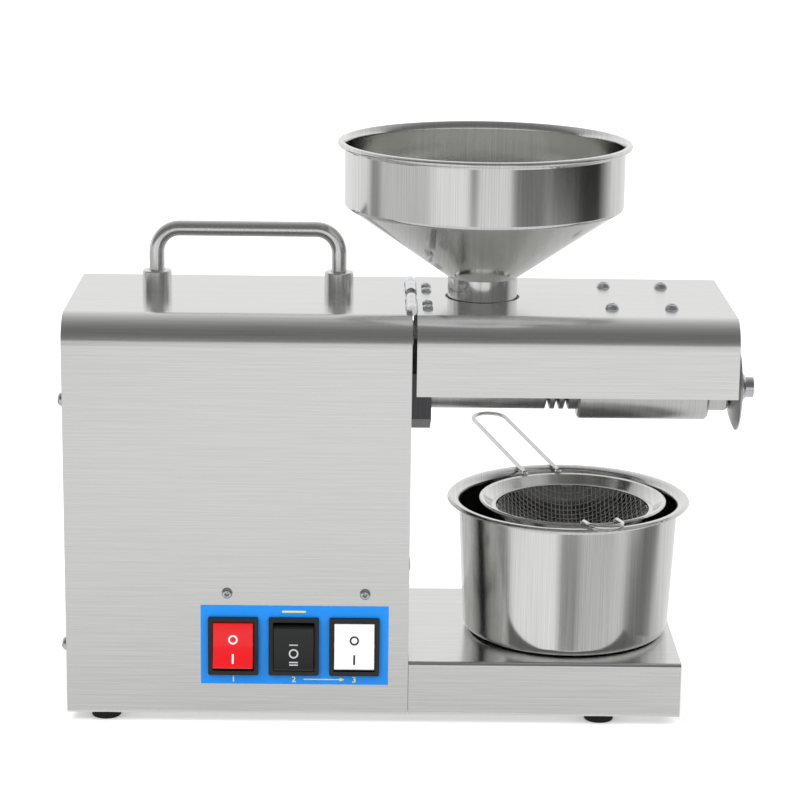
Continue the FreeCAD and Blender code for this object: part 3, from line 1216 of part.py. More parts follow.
def case_screw_spots():
    return [(y, z) for y in (-CASE_FRONT + CASE_SCREW_IN, CASE_BACK - CASE_SCREW_IN)
            for z in (CASE_LOW + CASE_SCREW_IN, CASE_HIGH - CASE_SCREW_IN)]


def case_outline(inset):
    return round_box(-CASE_FRONT + inset, CASE_LOW + inset, CASE_BACK - inset,
                     CASE_HIGH - inset, d.case_corner - inset)


def gearbox_case():
    """Cast case with a nose that carries the output bearing and takes the press barrel."""
    body = new_body("gearbox_case", MACHINE)
    pad(body, profile(body, "YZ_Plane", CASE_X, [case_outline(0)]), d.case_long)
    cut(body, "YZ_Plane", CASE_X, (d.case_long - d.case_wall) * 2, [case_outline(d.case_wall)])
    pad(body, profile(body, "YZ_Plane", CASE_END, circles=[(0, d.press_z, d.nose_dia)]),
        SHOULDER_X - CASE_END)
    stand = d.housing_long - SHEET - CASE_END
    pad(body, profile(body, "YZ_Plane", CASE_END, circles=[
        (y, z, d.boss_dia) for y, z in case_screw_spots()]), stand)
    hold = CASE_END - d.case_wall
    pad(body, profile(body, "YZ_Plane", hold, circles=[
        (d.idler_back, IDLER_Z, d.bush_dia + 8)]), 6, back=True)
    bearing = d.output_bearing_dia + d.shaft_gap * 2
    cut(body, "YZ_Plane", hold, (BEARING_X + d.output_bearing_long - hold) * 2,
        circles=[(0, d.press_z, bearing)])
    cut(body, "YZ_Plane", SHOULDER_X, (d.spigot_long + 4) * 2, circles=[
        (0, d.press_z, d.barrel_dia + d.fit_gap * 2)])
    cut(body, "YZ_Plane", hold - 6, 20, circles=[
        (d.idler_back, IDLER_Z, d.bush_dia + d.shaft_gap * 2)])
    cut(body, "YZ_Plane", CASE_END, d.case_wall * 8, circles=[
        (y, z, PANEL_SCREW_DIA + d.hole_gap * 2) for y, z in case_screw_spots()])


def gearbox_cover():
    body = new_body("gearbox_cover", (d.left_face + COVER_X, d.mid_plane, 0))
    pad(body, profile(body, "YZ_Plane", 0, [case_outline(0)]), d.case_cover)
    holes = [(y, MOTOR_Z + z, dia) for y, z, dia in bolt_holes()]
    holes.append((0, MOTOR_Z, d.motor_shaft_dia * 1.8))
    holes.append((0, d.press_z, d.output_tail_dia + d.shaft_gap * 2))
    holes.append((d.idler_back, IDLER_Z, d.bush_dia + d.shaft_gap * 2))
    cut(body, "YZ_Plane", 0, d.case_cover * 4, circles=holes)


def bearings():
    turned("output_bearing", PRESS_AXIS, ring(
        BEARING_X, BEARING_X + d.output_bearing_long, d.output_dia + d.shaft_gap * 2,
        d.output_bearing_dia), "X")
    place = (d.left_face, d.mid_plane + d.idler_back, IDLER_Z)
    bush = turned("idler_bushes", place, ring(COVER_X, CASE_X, d.idler_dia + d.shaft_gap * 2,
                                              d.bush_dia), "X")
    pattern(bush, [bush.Tip], ("X_Axis", CASE_END - CASE_X, 2))


def involute_gear(module, teeth, wide, tooth_at):
    """A spur gear about X, one tooth centred at an angle from +Y; backlash thins each tooth."""
    size = module.number
    pitch = size * teeth / 2
    base = pitch * math.cos(PRESSURE_ANGLE)
    foot = pitch - size * DEDENDUM
    tip = pitch + size * ADDENDUM
    half = (math.pi * size / 2 - DIMENSIONS["gear_backlash"]) / 2 / pitch
    lowest = max(base, foot)
    half += math.tan(PRESSURE_ANGLE) - PRESSURE_ANGLE
    flank = []
    for number in range(FLANK_POINT_COUNT):
        radius = lowest + (tip - lowest) * number / (FLANK_POINT_COUNT - 1)
        roll = math.sqrt(max(radius ** 2 / base ** 2 - 1, 0))
        flank.append((radius, half - (roll - math.atan(roll))))
    if foot < base:
        flank.insert(0, (foot, flank[0][1] * 0.85))
    corners = []
    for tooth in range(teeth):
        centre = tooth_at + 2 * math.pi * tooth / teeth
        for radius, angle in flank:
            corners.append((radius, centre - angle))
        for radius, angle in reversed(flank):
            corners.append((radius, centre + angle))
    points = [FreeCAD.Vector(0, radius * math.cos(a), radius * math.sin(a))
              for radius, a in corners]
    face = Part.Face(Part.makePolygon(points + points[:1]))
    return face.extrude(FreeCAD.Vector(wide.number, 0, 0))


def gear_feature(label, shape, place, bore=None):
    """A gear cut from a blank, bored for its shaft and set in its place."""
    if bore:
        hole = Part.makeCylinder(bore.number, (d.case_long * 2).number,
                                 FreeCAD.Vector(-1, 0, 0), FreeCAD.Vector(1, 0, 0))
        shape = shape.cut(hole)
    feature = doc.addObject("Part::Feature", label)
    feature.Shape = shape
    for axis, size in zip("xyz", place):
        bind(feature, "Placement.Base." + axis, size)
    PARTS.append(feature)


def gears():
    """Motor pinion, idler cluster and output gear, in mesh as they stand."""
    to_idler = math.atan2((IDLER_Z - MOTOR_Z).number, d.idler_back.number)
    to_output = math.atan2((d.press_z - IDLER_Z).number, -d.idler_back.number)
    pinion = involute_gear(d.gear_module, PINION_TOOTH_COUNT, d.pinion_wide, to_idler)
    gear_feature("motor_pinion", pinion, (d.left_face + PINION_X, d.mid_plane, MOTOR_Z),
                 MOTOR_SHAFT * 0.7 + d.shaft_gap)
    wheel = involute_gear(d.gear_module, WHEEL_TOOTH_COUNT, d.wheel_wide,
                          to_idler + math.pi + math.pi / WHEEL_TOOTH_COUNT)
    small = involute_gear(d.slow_module, PINION_TOOTH_COUNT, d.slow_wide + 8, to_output)
    small.translate(FreeCAD.Vector(d.wheel_wide.number, 0, 0))
    shaft = Part.makeCylinder(d.idler_dia.number / 2, (CASE_END - COVER_X).number,
                              FreeCAD.Vector((COVER_X - WHEEL_X).number, 0, 0),
                              FreeCAD.Vector(1, 0, 0))
    gear_feature("idler_gear", wheel.fuse([small, shaft]),
                 (d.left_face + WHEEL_X, d.mid_plane + d.idler_back, IDLER_Z))
    big = involute_gear(d.slow_module, OUTPUT_TOOTH_COUNT, d.slow_wide,
                        to_output + math.pi + math.pi / OUTPUT_TOOTH_COUNT)
    gear_feature("output_gear", big, (d.left_face + OUTPUT_GEAR_X, d.mid_plane, d.press_z),
                 SHAFT + d.shaft_gap)


def output_shaft():
    body = new_body("output_shaft", PRESS_AXIS)
    tail = d.output_tail_dia / 2
    end = BEARING_X + d.output_bearing_long
    step = OUTPUT_GEAR_X - 1
    turn_profile(body, "Revolution", "XZ_Plane", "H_Axis", [
        (COVER_X, 0), (end, 0), (end, SHAFT), (step, SHAFT), (step, tail), (COVER_X, tail)])
    cut(body, "YZ_Plane", end, (d.drive_hex_long + 2) * 2,
        [hexagon_across(d.drive_hex + d.hole_gap * 2)])


def case_screws():
    first = case_screw_spots()[0]
    last = case_screw_spots()[3]
    place = (d.left_face + d.housing_long, d.mid_plane + first[0], first[1])
    screws("gearbox_screws", place, "+X", d.case_screw_dia, PANEL_SCREW_DIA,
           d.case_screw_long,
           ("Y_Axis", last[0] - first[0], 2), tall=d.low_head_tall)
    body = PARTS[-1]
    feature = body.Tip
    feature.Direction2 = ([item for item in body.Origin.OriginFeatures
                           if item.Role == "X_Axis"][0], [""])
    bind(feature, "Length2", last[1] - first[1])
    feature.Occurrences2 = 2
    feature.Reversed2 = True


# ---------------------------------------------------------------- electrics

def inlet_screw_spots():
    return [d.inlet_x - d.inlet_screw_apart / 2, d.inlet_x + d.inlet_screw_apart / 2]


def control_board():
    """The drive board on its bracket, held by the two front screws."""
    back = HALF - SHEET - d.board_in
    body = new_body("control_board", (d.left_face + FRONT_SCREW_X, d.mid_plane - back,
                                      d.front_screw_z))
    half = d.board_long / 2
    edge = d.front_screw_dia
    pad(body, profile(body, "XZ_Plane", 0, [
        box_points(-half, -edge, half, d.board_tall - edge)],
        [(d.front_screw_apart / 2 * side, 0, PANEL_SCREW_DIA + d.hole_gap * 2)
         for side in (-1, 1)]), d.board_thick, back=True)
    left = d.board_long * 0.1
    long = d.board_long * 0.26
    tall = d.board_tall * 0.45
    low = d.board_tall * 0.25
    chips = [box_points(-half + left, low, -half + left + long, low + tall),
             box_points(left, low, left + long, low + tall)]
    pad(body, profile(body, "XZ_Plane", 0, chips), d.board_in / 2)


def capacitor():
    """Motor run capacitor, standing on the bottom plate."""
    radius = d.capacitor_dia / 2
    top = d.capacitor_long
    place = (d.left_face + CASE_X + 20, d.mid_plane, FLOOR_TOP)
    turned("run_capacitor", place, [
        (0, 0), (radius - 2, 0), (radius, 2, 2, 1), (radius, top - 1), (radius - 1, top, 1, 1),
        (4, top), (4, top + 4), (0, top + 4)])


def power_inlet():
    """A flush appliance inlet in the back wall: flange, body, shaped well and three pins."""
    place = (d.left_face + d.inlet_x, d.mid_plane + HALF, d.inlet_z)
    body = new_body("power_inlet", place)
    wide = d.inlet_wide / 2
    tall = d.inlet_tall / 2
    flange = d.inlet_flange / 2
    pad(body, profile(body, "XZ_Plane", 0, [
        round_box(-flange, -tall - 1, flange, tall + 1, 4)]), d.inlet_flange_thick, back=True)
    pad(body, profile(body, "XZ_Plane", 0, [box_points(-wide, -tall, wide, tall)]),
        d.inlet_deep)
    wide = wide - 1.6
    tall = tall - 1.6
    bevel = tall * 0.7
    well = [(-wide, -tall), (wide, -tall), (wide, tall - bevel), (wide - bevel, tall),
            (-wide + bevel, tall), (-wide, tall - bevel)]
    cut(body, "XZ_Plane", -d.inlet_flange_thick, (d.inlet_deep - 2) * 2, [well])
    pins = [box_points(x - 1, z - 2, x + 1, z + 2) for x, z in ((-7, -1.5), (7, -1.5), (0, 2))]
    pad(body, profile(body, "XZ_Plane", d.inlet_deep - 3, pins), d.inlet_deep - 4, back=True)
    cut(body, "XZ_Plane", 0, 20, circles=[
        (side * d.inlet_screw_apart / 2, 0, PANEL_SCREW_DIA + d.hole_gap * 2)
        for side in (-1, 1)])


# ---------------------------------------------------------------- build, check and write

def build():
    make_sheet()
    for make in (housing_shell, left_end_panel, right_end_panel, bottom_plate, base_tray, feet,
                 end_panel_screws, control_label, switch_bodies, carry_handle,
                 chamber_cover, heat_shield, cover_screws, hinge_pins, hinge_screws, hopper,
                 press_barrel, press_screw, heater_sleeve, locking_nut, end_fittings,
                 heater_lead, oil_pot, strainer, motor, gearbox_case, gearbox_cover, bearings,
                 gears, output_shaft, case_screws, control_board, capacitor, power_inlet,
                 panel_screws):
        make()
    hinge_leaf("hinge_leaf_fixed", -1, (0, 2))
    hinge_leaf("hinge_leaf_moving", 1, (1,))
    for colour, number, tilted in SWITCHES:
        rocker(colour, number, tilted)
    doc.recompute()


def check():
    for thing in doc.Objects:
        wrong = [word for word in thing.State if word in ("Invalid", "Error")]
        if wrong:
            raise RuntimeError("%s is %s" % (thing.Name, wrong[0]))
    for part in PARTS:
        if part.Shape.isNull() or not part.Shape.isValid():
            raise RuntimeError("%s has no valid shape" % part.Label)


def write():
    os.makedirs("parts", exist_ok=True)
    for part in PARTS:
        part.Shape.exportStep("parts/%s.step" % part.Label)
        print("%-22s %2d solids %10.1f mm3" % (part.Label, len(part.Shape.Solids),
                                               part.Shape.Volume))


build()
check()
write()
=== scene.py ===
# %% [markdown]
# A screw oil press for the kitchen, dressed for its portrait.
#
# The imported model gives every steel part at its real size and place. This lesson adds what the
# eye wants on top: brushed and spun stainless steel, moulded rockers, a printed label, woven wire
# cloth and cross-recessed screws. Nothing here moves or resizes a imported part.

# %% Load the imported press
import json
import math
import bmesh
import bpy
from mathutils import Matrix, Vector
from mathutils.bvhtree import BVHTree


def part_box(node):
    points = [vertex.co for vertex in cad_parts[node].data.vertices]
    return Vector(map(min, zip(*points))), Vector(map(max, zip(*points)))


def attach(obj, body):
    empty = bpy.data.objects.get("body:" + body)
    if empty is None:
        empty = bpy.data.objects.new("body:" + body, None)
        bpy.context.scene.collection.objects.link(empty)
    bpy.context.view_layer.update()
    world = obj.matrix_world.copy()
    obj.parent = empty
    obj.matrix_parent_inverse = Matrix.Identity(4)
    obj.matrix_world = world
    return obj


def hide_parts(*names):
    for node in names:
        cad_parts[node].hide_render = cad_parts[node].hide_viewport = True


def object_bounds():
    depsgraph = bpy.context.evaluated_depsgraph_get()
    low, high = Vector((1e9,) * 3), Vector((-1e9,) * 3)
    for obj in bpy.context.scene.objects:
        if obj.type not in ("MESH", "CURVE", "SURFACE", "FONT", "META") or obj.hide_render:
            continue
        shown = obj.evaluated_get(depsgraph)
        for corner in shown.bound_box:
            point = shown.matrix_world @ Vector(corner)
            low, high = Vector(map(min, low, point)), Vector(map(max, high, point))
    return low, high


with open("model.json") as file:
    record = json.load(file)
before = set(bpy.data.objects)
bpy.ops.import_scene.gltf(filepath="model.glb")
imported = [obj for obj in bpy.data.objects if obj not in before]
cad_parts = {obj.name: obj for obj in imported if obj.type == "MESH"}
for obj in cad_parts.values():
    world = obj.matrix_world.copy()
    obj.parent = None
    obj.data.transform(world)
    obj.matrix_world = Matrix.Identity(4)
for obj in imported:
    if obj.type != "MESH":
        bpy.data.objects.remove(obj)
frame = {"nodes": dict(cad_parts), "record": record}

CAD_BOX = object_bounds()
NODES = frame["nodes"]
MM = 0.001
bpy.context.scene.view_settings.view_transform = "Standard"
print("press box, mm:", [[round(c / MM, 1) for c in corner] for corner in CAD_BOX])

# %% [markdown]
# The camera comes first, because everything after it is judged through it. A long lens from
# a little above keeps upright edges nearly parallel and still shows the hopper's inside.
#
# The camera stands about 1.3 m in front of the housing and looks down by about 14 degrees.

# %% Camera
CAMERA_AT = Vector((-0.0222, -1.3688, 0.4885))
LENS = 118.1
TURN_RIGHT = math.radians(0.67)
LOOK_DOWN = math.radians(13.93)
ROLL = math.radians(0.739)


def place_camera():
    data = bpy.data.cameras.new("portrait_camera")
    data.lens = LENS
    camera = bpy.data.objects.new("portrait_camera", data)
    bpy.context.collection.objects.link(camera)
    turn = Matrix.Rotation(-TURN_RIGHT, 4, "Z") @ Matrix.Rotation(math.pi / 2 - LOOK_DOWN, 4, "X")
    camera.matrix_world = Matrix.Translation(CAMERA_AT) @ turn @ Matrix.Rotation(ROLL, 4, "Z")
    bpy.context.scene.camera = camera
    return camera


camera = place_camera()
print("camera looks along", [round(c, 3) for c in camera.matrix_world.to_3x3() @ Vector((0, 0, -1))])

# %% [markdown]
# Node trees are built with one small function. It adds a node, sets its plain settings by name,
# and fills each input with a number, a colour or a link from another node. Colours are written as
# sRGB hex, the way a paint chart gives them, and turned to linear light in one place.

# %% Colour and node helpers
def linear(code, alpha=1.0):
    parts = [int(code[i:i + 2], 16) / 255 for i in (1, 3, 5)]
    return [p / 12.92 if p <= 0.04045 else ((p + 0.055) / 1.055) ** 2.4 for p in parts] + [alpha]


def add(tree, kind, inputs=None, **settings):
    node = tree.nodes.new(kind)
    for name, value in settings.items():
        setattr(node, name, value)
    for socket, value in (inputs or {}).items():
        if isinstance(value, bpy.types.NodeSocket):
            tree.links.new(value, node.inputs[socket])
        else:
            node.inputs[socket].default_value = value
    return node


def ramp(tree, factor, stops, interpolation="LINEAR"):
    """A colour ramp from (place, grey or hex) stops."""
    node = add(tree, "ShaderNodeValToRGB", {"Fac": factor})
    node.color_ramp.interpolation = interpolation
    elements = node.color_ramp.elements
    for number, (place, tone) in enumerate(stops):
        element = elements[number] if number < 2 else elements.new(place)
        element.position = place
        element.color = linear(tone) if isinstance(tone, str) else (tone, tone, tone, 1)
    return node.outputs["Color"]


def new_finish(name):
    material = bpy.data.materials.new(name)
    material.use_nodes = True
    tree = material.node_tree
    return material, tree, tree.nodes["Principled BSDF"]


print("mid grey in linear light:", round(linear("#808080")[0], 3))

# %% [markdown]
# Polished steel has no colour of its own: it shows the room. A product studio for steel is a
# white tent with a dark ceiling towards the camera and a few dark flags, and those give the bends
# their dark edge and the pot its upright streaks.
#
# Here the room is one world shader. Camera rays see plain white. Gloss and transmission see the
# tent, drawn from the ray's own compass direction and height, so it stays put when the camera
# moves. Other rays see an even grey sky, which is the soft fill light.

# %% World: a white tent with flags
TENT_FILL = 0.62
TENT_MEAN = 0.85            # what light shows after a few bounces between steel faces

# (degrees round from the front, right is positive; brightness)
FLAGS_AROUND_HOPPER = ((-180, 0.95), (-113, 0.92), (-106, 0.34), (-99, 0.34), (-94, 0.66),
                       (-50, 0.66), (-41, 0.95), (-15, 0.95), (-13, 0.24), (-9, 0.24),
                       (-6, 0.80), (19, 0.80), (22, 0.18), (50, 0.18), (56, 0.07), (68, 0.02),
                       (104, 0.02), (116, 0.45), (124, 0.80), (180, 0.95))
FLAGS_AROUND_HOUSING = ((-180, 0.9), (-120, 0.8), (-112, 0.25), (-98, 0.25), (-88, 0.75),
                        (-60, 0.55), (-34, 0.95), (20, 0.98), (27, 0.35), (44, 0.3), (52, 0.9),
                        (74, 0.75), (86, 0.2), (104, 0.22), (116, 0.8), (180, 0.9))
FLAGS_AROUND_POT = ((-180, 0.35), (-140, 0.05), (-112, 0.06), (-88, 0.16), (-72, 0.30),
                    (-64, 0.98), (-16, 0.98), (-8, 0.26), (6, 0.24), (13, 0.50), (30, 0.64),
                    (60, 0.68), (72, 0.17), (96, 0.19), (112, 0.55), (140, 0.72), (180, 0.6))
# ceiling, by degrees from the front horizon over the top to the back one
CEILING = ((0, 0.95), (3, 0.9), (9, 0.22), (38, 0.17), (60, 0.2), (79, 0.28), (110, 0.5), (138, 0.75),
           (160, 0.93), (180, 0.97))
HOPPER_HEIGHT = -10.8       # gloss rays above this height, in degrees, come off the hopper's band
POT_HEIGHT = -20.8          # from here to the next one they come off the pot
FLOOR_HEIGHT = -26.5        # and below that they look at the pale floor
HEIGHT_BLEND = 0.8
HORIZON = 0.6               # the ceiling starts this far above the level
TENT_FLOOR = 0.8            # brightness of the floor that gloss rays see
BOUNCES_TO_MEAN = 2.5       # gloss rays that have bounced more often see the mean


def around(tree, azimuth, flags):
    return ramp(tree, azimuth, [(0.5 + degrees / 360, tone) for degrees, tone in flags])


def above(tree, height, degrees):
    """1 where the ray is higher than the given height, 0 below, with a soft step."""
    node = add(tree, "ShaderNodeMapRange", {
        "Value": height, "From Min": degrees - HEIGHT_BLEND, "From Max": degrees + HEIGHT_BLEND},
        interpolation_type="SMOOTHSTEP")
    return node.outputs["Result"]


def mix(tree, factor, low, high):
    node = add(tree, "ShaderNodeMix", data_type="RGBA")
    for socket, value in ((node.inputs[0], factor), (node.inputs[6], low), (node.inputs[7], high)):
        if isinstance(value, bpy.types.NodeSocket):
            tree.links.new(value, socket)
        else:
            socket.default_value = value
    return node.outputs[2]


def hang_tent():
    world = bpy.data.worlds.new("white_tent")
    world.use_nodes = True
    world.cycles.sampling_method = "NONE"   # each ray type sees only its own side of the tent
    bpy.context.scene.world = world
    tree = world.node_tree
    tree.nodes.clear()
    ray = add(tree, "ShaderNodeTexCoord").outputs["Generated"]
    split = add(tree, "ShaderNodeSeparateXYZ", {0: ray})
    back = add(tree, "ShaderNodeMath", {0: split.outputs["Y"], 1: -1.0}, operation="MULTIPLY")
    angle = add(tree, "ShaderNodeMath", {0: split.outputs["X"], 1: back.outputs[0]},
                operation="ARCTAN2")
    azimuth = add(tree, "ShaderNodeMapRange", {"Value": angle.outputs[0], "From Min": -math.pi,
                                               "From Max": math.pi}).outputs["Result"]
    tilt = add(tree, "ShaderNodeMath", {0: split.outputs["Z"]}, operation="ARCSINE")
    height = add(tree, "ShaderNodeMath", {0: tilt.outputs[0]}, operation="DEGREES").outputs[0]
    hopper = around(tree, azimuth, FLAGS_AROUND_HOPPER)
    housing = around(tree, azimuth, FLAGS_AROUND_HOUSING)
    pot = around(tree, azimuth, FLAGS_AROUND_POT)
    lower = mix(tree, above(tree, height, FLOOR_HEIGHT), (TENT_FLOOR, TENT_FLOOR, TENT_FLOOR, 1),
                pot)
    lower = mix(tree, above(tree, height, POT_HEIGHT), lower, housing)
    lower = mix(tree, above(tree, height, HOPPER_HEIGHT), lower, hopper)
    over = add(tree, "ShaderNodeMath", {0: split.outputs["Z"], 1: back.outputs[0]},
               operation="ARCTAN2").outputs[0]
    arc = add(tree, "ShaderNodeMapRange", {"Value": over, "From Max": math.pi}).outputs["Result"]
    ceiling = ramp(tree, arc, [(degrees / 180, tone) for degrees, tone in CEILING])
    tent = mix(tree, above(tree, height, HORIZON), lower, ceiling)
    path = add(tree, "ShaderNodeLightPath")
    often = add(tree, "ShaderNodeMath", {0: path.outputs["Glossy Depth"], 1: BOUNCES_TO_MEAN},
                operation="GREATER_THAN").outputs[0]
    tent = mix(tree, often, tent, (TENT_MEAN, TENT_MEAN, TENT_MEAN, 1))
    gloss = add(tree, "ShaderNodeMath", {0: path.outputs["Is Glossy Ray"],
                                         1: path.outputs["Is Transmission Ray"]},
                operation="MAXIMUM").outputs[0]
    shown = mix(tree, gloss, (TENT_FILL, TENT_FILL, TENT_FILL, 1), tent)
    shown = mix(tree, path.outputs["Is Camera Ray"], shown, (1, 1, 1, 1))
    background = add(tree, "ShaderNodeBackground", {"Color": shown})
    add(tree, "ShaderNodeOutputWorld", {"Surface": background.outputs[0]})
    return world


print("world:", hang_tent().name)

# %% [markdown]
# The floor is a plain pale sheet. It keeps the soft shadow under the machine, and a little glow
# that only the camera sees lifts the lit part of it to the white of the background. The glow grows
# with the distance, because the lamps don't reach the far floor. The floor is left out of
# reflections, so that the steel reflects the tent all the way down.

# %% Floor
FLOOR_HALF = 6.0
FLOOR_GLOW = 0.3            # near the press
FLOOR_NEAR = 0.8            # the glow starts to grow here, in metres from the origin
FLOOR_FAR = 4.0             # and is full here


def lay_floor():
    mesh = bpy.data.meshes.new("studio_floor")
    corners = [(-FLOOR_HALF, -FLOOR_HALF, 0), (FLOOR_HALF, -FLOOR_HALF, 0),
               (FLOOR_HALF, FLOOR_HALF, 0), (-FLOOR_HALF, FLOOR_HALF, 0)]
    mesh.from_pydata(corners, [], [(0, 1, 2, 3)])
    floor = bpy.data.objects.new("studio_floor", mesh)
    bpy.context.collection.objects.link(floor)
    material, tree, shader = new_finish("pale_studio_floor")
    shader.inputs["Base Color"].default_value = linear("#EDEDED")
    shader.inputs["Roughness"].default_value = 1.0
    shader.inputs["Specular IOR Level"].default_value = 0.0
    seen = add(tree, "ShaderNodeLightPath").outputs["Is Camera Ray"]
    glow = add(tree, "ShaderNodeEmission", {"Color": linear("#FFFFFF")})
    place = add(tree, "ShaderNodeNewGeometry").outputs["Position"]
    away = add(tree, "ShaderNodeVectorMath", {0: place}, operation="LENGTH").outputs["Value"]
    glow_there = add(tree, "ShaderNodeMapRange", {
        "Value": away, "From Min": FLOOR_NEAR, "From Max": FLOOR_FAR, "To Min": FLOOR_GLOW,
        "To Max": 1.0}).outputs["Result"]
    strength = add(tree, "ShaderNodeMath", {0: seen, 1: glow_there}, operation="MULTIPLY")
    tree.links.new(strength.outputs[0], glow.inputs["Strength"])
    both = add(tree, "ShaderNodeAddShader", {0: shader.outputs[0], 1: glow.outputs[0]})
    tree.links.new(both.outputs[0], tree.nodes["Material Output"].inputs["Surface"])
    mesh.materials.append(material)
    floor.visible_glossy = False
    return floor


print("floor:", lay_floor().name)

# %% [markdown]
# Three large soft lamps: a key from the upper left front, a weaker fill from the right, and one
# from behind. They light plastic, rubber and the floor. The steel takes nearly all its light from
# the tent, so the lamps are kept out of its reflections and it stays free of hot spots.

# %% Soft lamps
LAMPS = (("key_lamp", (-1.3, -1.7, 2.1), 1.6, 42),      # name, place, width in metres, watts
         ("fill_lamp", (1.7, -1.0, 1.5), 1.4, 16),
         ("back_lamp", (0.3, 1.9, 1.9), 1.6, 24))


def soft_lamp(name, place, aim, size, watts):
    data = bpy.data.lights.new(name, "AREA")
    data.shape = "DISK"
    data.size = size
    data.energy = watts
    lamp = bpy.data.objects.new(name, data)
    bpy.context.collection.objects.link(lamp)
    lamp.location = place
    lamp.rotation_euler = (Vector(aim) - Vector(place)).to_track_quat("-Z", "Y").to_euler()
    lamp.visible_glossy = False
    return lamp


MIDDLE = (CAD_BOX[0] + CAD_BOX[1]) / 2
for name, place, size, watts in LAMPS:
    soft_lamp(name, place, MIDDLE, size, watts)
print("lamps aim at", [round(c, 3) for c in MIDDLE])

# %% [markdown]
# The housing, the cover and the tray are bent from type 304 stainless sheet with a long-line
# brushed face: an abrasive belt leaves fine, nearly endless lines along the sheet. The lines run
# along X, and on the two end panels from front to back. They smear reflections across themselves
# and keep them crisp along themselves, and they show as faint pale and dark hairs.
#
# A noise stretched along the lines draws the hairs. Real belt lines are about 0.05 mm wide, which
# no picture of the whole machine can show, so they are drawn 0.7 mm wide.

# %% Brushed stainless sheet
LINE_WIDE = 0.7 * MM
LINE_LONG = 60 * MM
LINE_DEPTH = 0.02 * MM
LINE_BUMP = 0.06            # strength of the bump that the lines give
BRUSH_SPREAD = 0.5          # anisotropy: how much more the face blurs across the lines
BRUSH_DARK, BRUSH_PALE = "#DBDBDA", "#E4E4E3"
HAIR_LOW, HAIR_HIGH = 0.36, 0.64    # noise at which a hair is fully dark and fully pale
BRUSH_ROUGH = 0.2
BRUSH_SWING = 0.05          # how far the roughness goes up and down with the hairs
EDGE_NUDGE = (0.02, 0.03, 0.02)
NOISE_DETAIL = 3.0
NOISE_ROUGH = 0.6


def stretched_noise(tree, along, across, axis="X"):
    """Noise whose grains are so long along one axis and so wide across it, in metres."""
    scale = [1 / along if name == axis else 1 / across for name in "XYZ"]
    place = add(tree, "ShaderNodeTexCoord").outputs["Object"]
    grid = add(tree, "ShaderNodeMapping", {"Vector": place, "Scale": scale}).outputs[0]
    return add(tree, "ShaderNodeTexNoise", {"Vector": grid, "Scale": 1.0, "Detail": NOISE_DETAIL,
                                            "Roughness": NOISE_ROUGH}).outputs["Fac"]


def brushed_sheet(name, axis):
    material, tree, shader = new_finish(name)
    hairs = stretched_noise(tree, LINE_LONG, LINE_WIDE, axis)
    colour = ramp(tree, hairs, [(HAIR_LOW, BRUSH_DARK), (HAIR_HIGH, BRUSH_PALE)], "EASE")
    blur = add(tree, "ShaderNodeMapRange", {"Value": hairs, "To Min": BRUSH_ROUGH - BRUSH_SWING,
                                            "To Max": BRUSH_ROUGH + BRUSH_SWING}).outputs["Result"]
    bump = add(tree, "ShaderNodeBump", {"Height": hairs, "Strength": LINE_BUMP,
                                        "Distance": LINE_DEPTH}).outputs[0]
    lines = [1.0 if letter == axis else 0.0 for letter in "XYZ"]
    facing = add(tree, "ShaderNodeNewGeometry").outputs["Normal"]
    turned = add(tree, "ShaderNodeVectorMath", {0: facing, 1: lines}, operation="CROSS_PRODUCT")
    # a cut edge that faces along the lines has no direction across them, so it gets a small one
    across = add(tree, "ShaderNodeVectorMath", {0: turned.outputs[0], 1: EDGE_NUDGE},
                 operation="ADD")
    for socket, value in (("Base Color", colour), ("Roughness", blur), ("Normal", bump),
                          ("Tangent", across.outputs[0])):
        tree.links.new(value, shader.inputs[socket])
    shader.inputs["Metallic"].default_value = 1.0
    shader.inputs["Anisotropic"].default_value = BRUSH_SPREAD
    return material


FINISHES = {"brushed_stainless": brushed_sheet("stainless_304_long_line_brushed", "X"),
            "end_panel": brushed_sheet("stainless_304_end_panel_brushed", "Y")}
END_PANELS = ("left_end_panel", "right_end_panel")      # their lines run from front to back
print("brushed lines:", round(LINE_WIDE / MM, 2), "mm wide, drawn coarse")

# %% [markdown]
# The hopper and the pot are spun and drawn from thinner sheet and then polished on the lathe, so
# they mirror the tent with soft edges. The polishing leaves faint rings round the axis, which
# stretch every highlight upright.

# %% Polished, turned and plated steels
STEEL_DARK, STEEL_PALE = 0.9, 1.08      # drift of the tone, as shares of it
DRIFT_LOW, DRIFT_HIGH = 0.35, 0.65      # noise at which the drift is full
STEEL_SHARP, STEEL_DULL = 0.8, 1.2      # drift of the roughness, as shares of it
STEEL_BUMP = 0.15
EVEN_GRAIN = (12 * MM, 12 * MM, 0.0)    # for a metal without marks: slow drift and no bump


def steel(name, tone, roughness, grain=EVEN_GRAIN, axis="Z"):
    """Bare metal: a mean tone with slight drift and grains (long, wide, depth)."""
    material, tree, shader = new_finish(name)
    shader.inputs["Metallic"].default_value = 1.0
    long, wide, depth = grain
    marks = stretched_noise(tree, long, wide, axis)
    base = linear(tone)
    dark = [c * STEEL_DARK for c in base[:3]] + [1]
    pale = [min(c * STEEL_PALE, 1.0) for c in base[:3]] + [1]
    drift = add(tree, "ShaderNodeMapRange", {"Value": marks, "From Min": DRIFT_LOW,
                                             "From Max": DRIFT_HIGH})
    tree.links.new(mix(tree, drift.outputs["Result"], dark, pale), shader.inputs["Base Color"])
    blur = add(tree, "ShaderNodeMapRange", {"Value": marks, "To Min": roughness * STEEL_SHARP,
                                            "To Max": roughness * STEEL_DULL}).outputs["Result"]
    tree.links.new(blur, shader.inputs["Roughness"])
    if depth:
        bump = add(tree, "ShaderNodeBump", {"Height": marks, "Strength": STEEL_BUMP,
                                            "Distance": depth}).outputs[0]
        tree.links.new(bump, shader.inputs["Normal"])
    return material


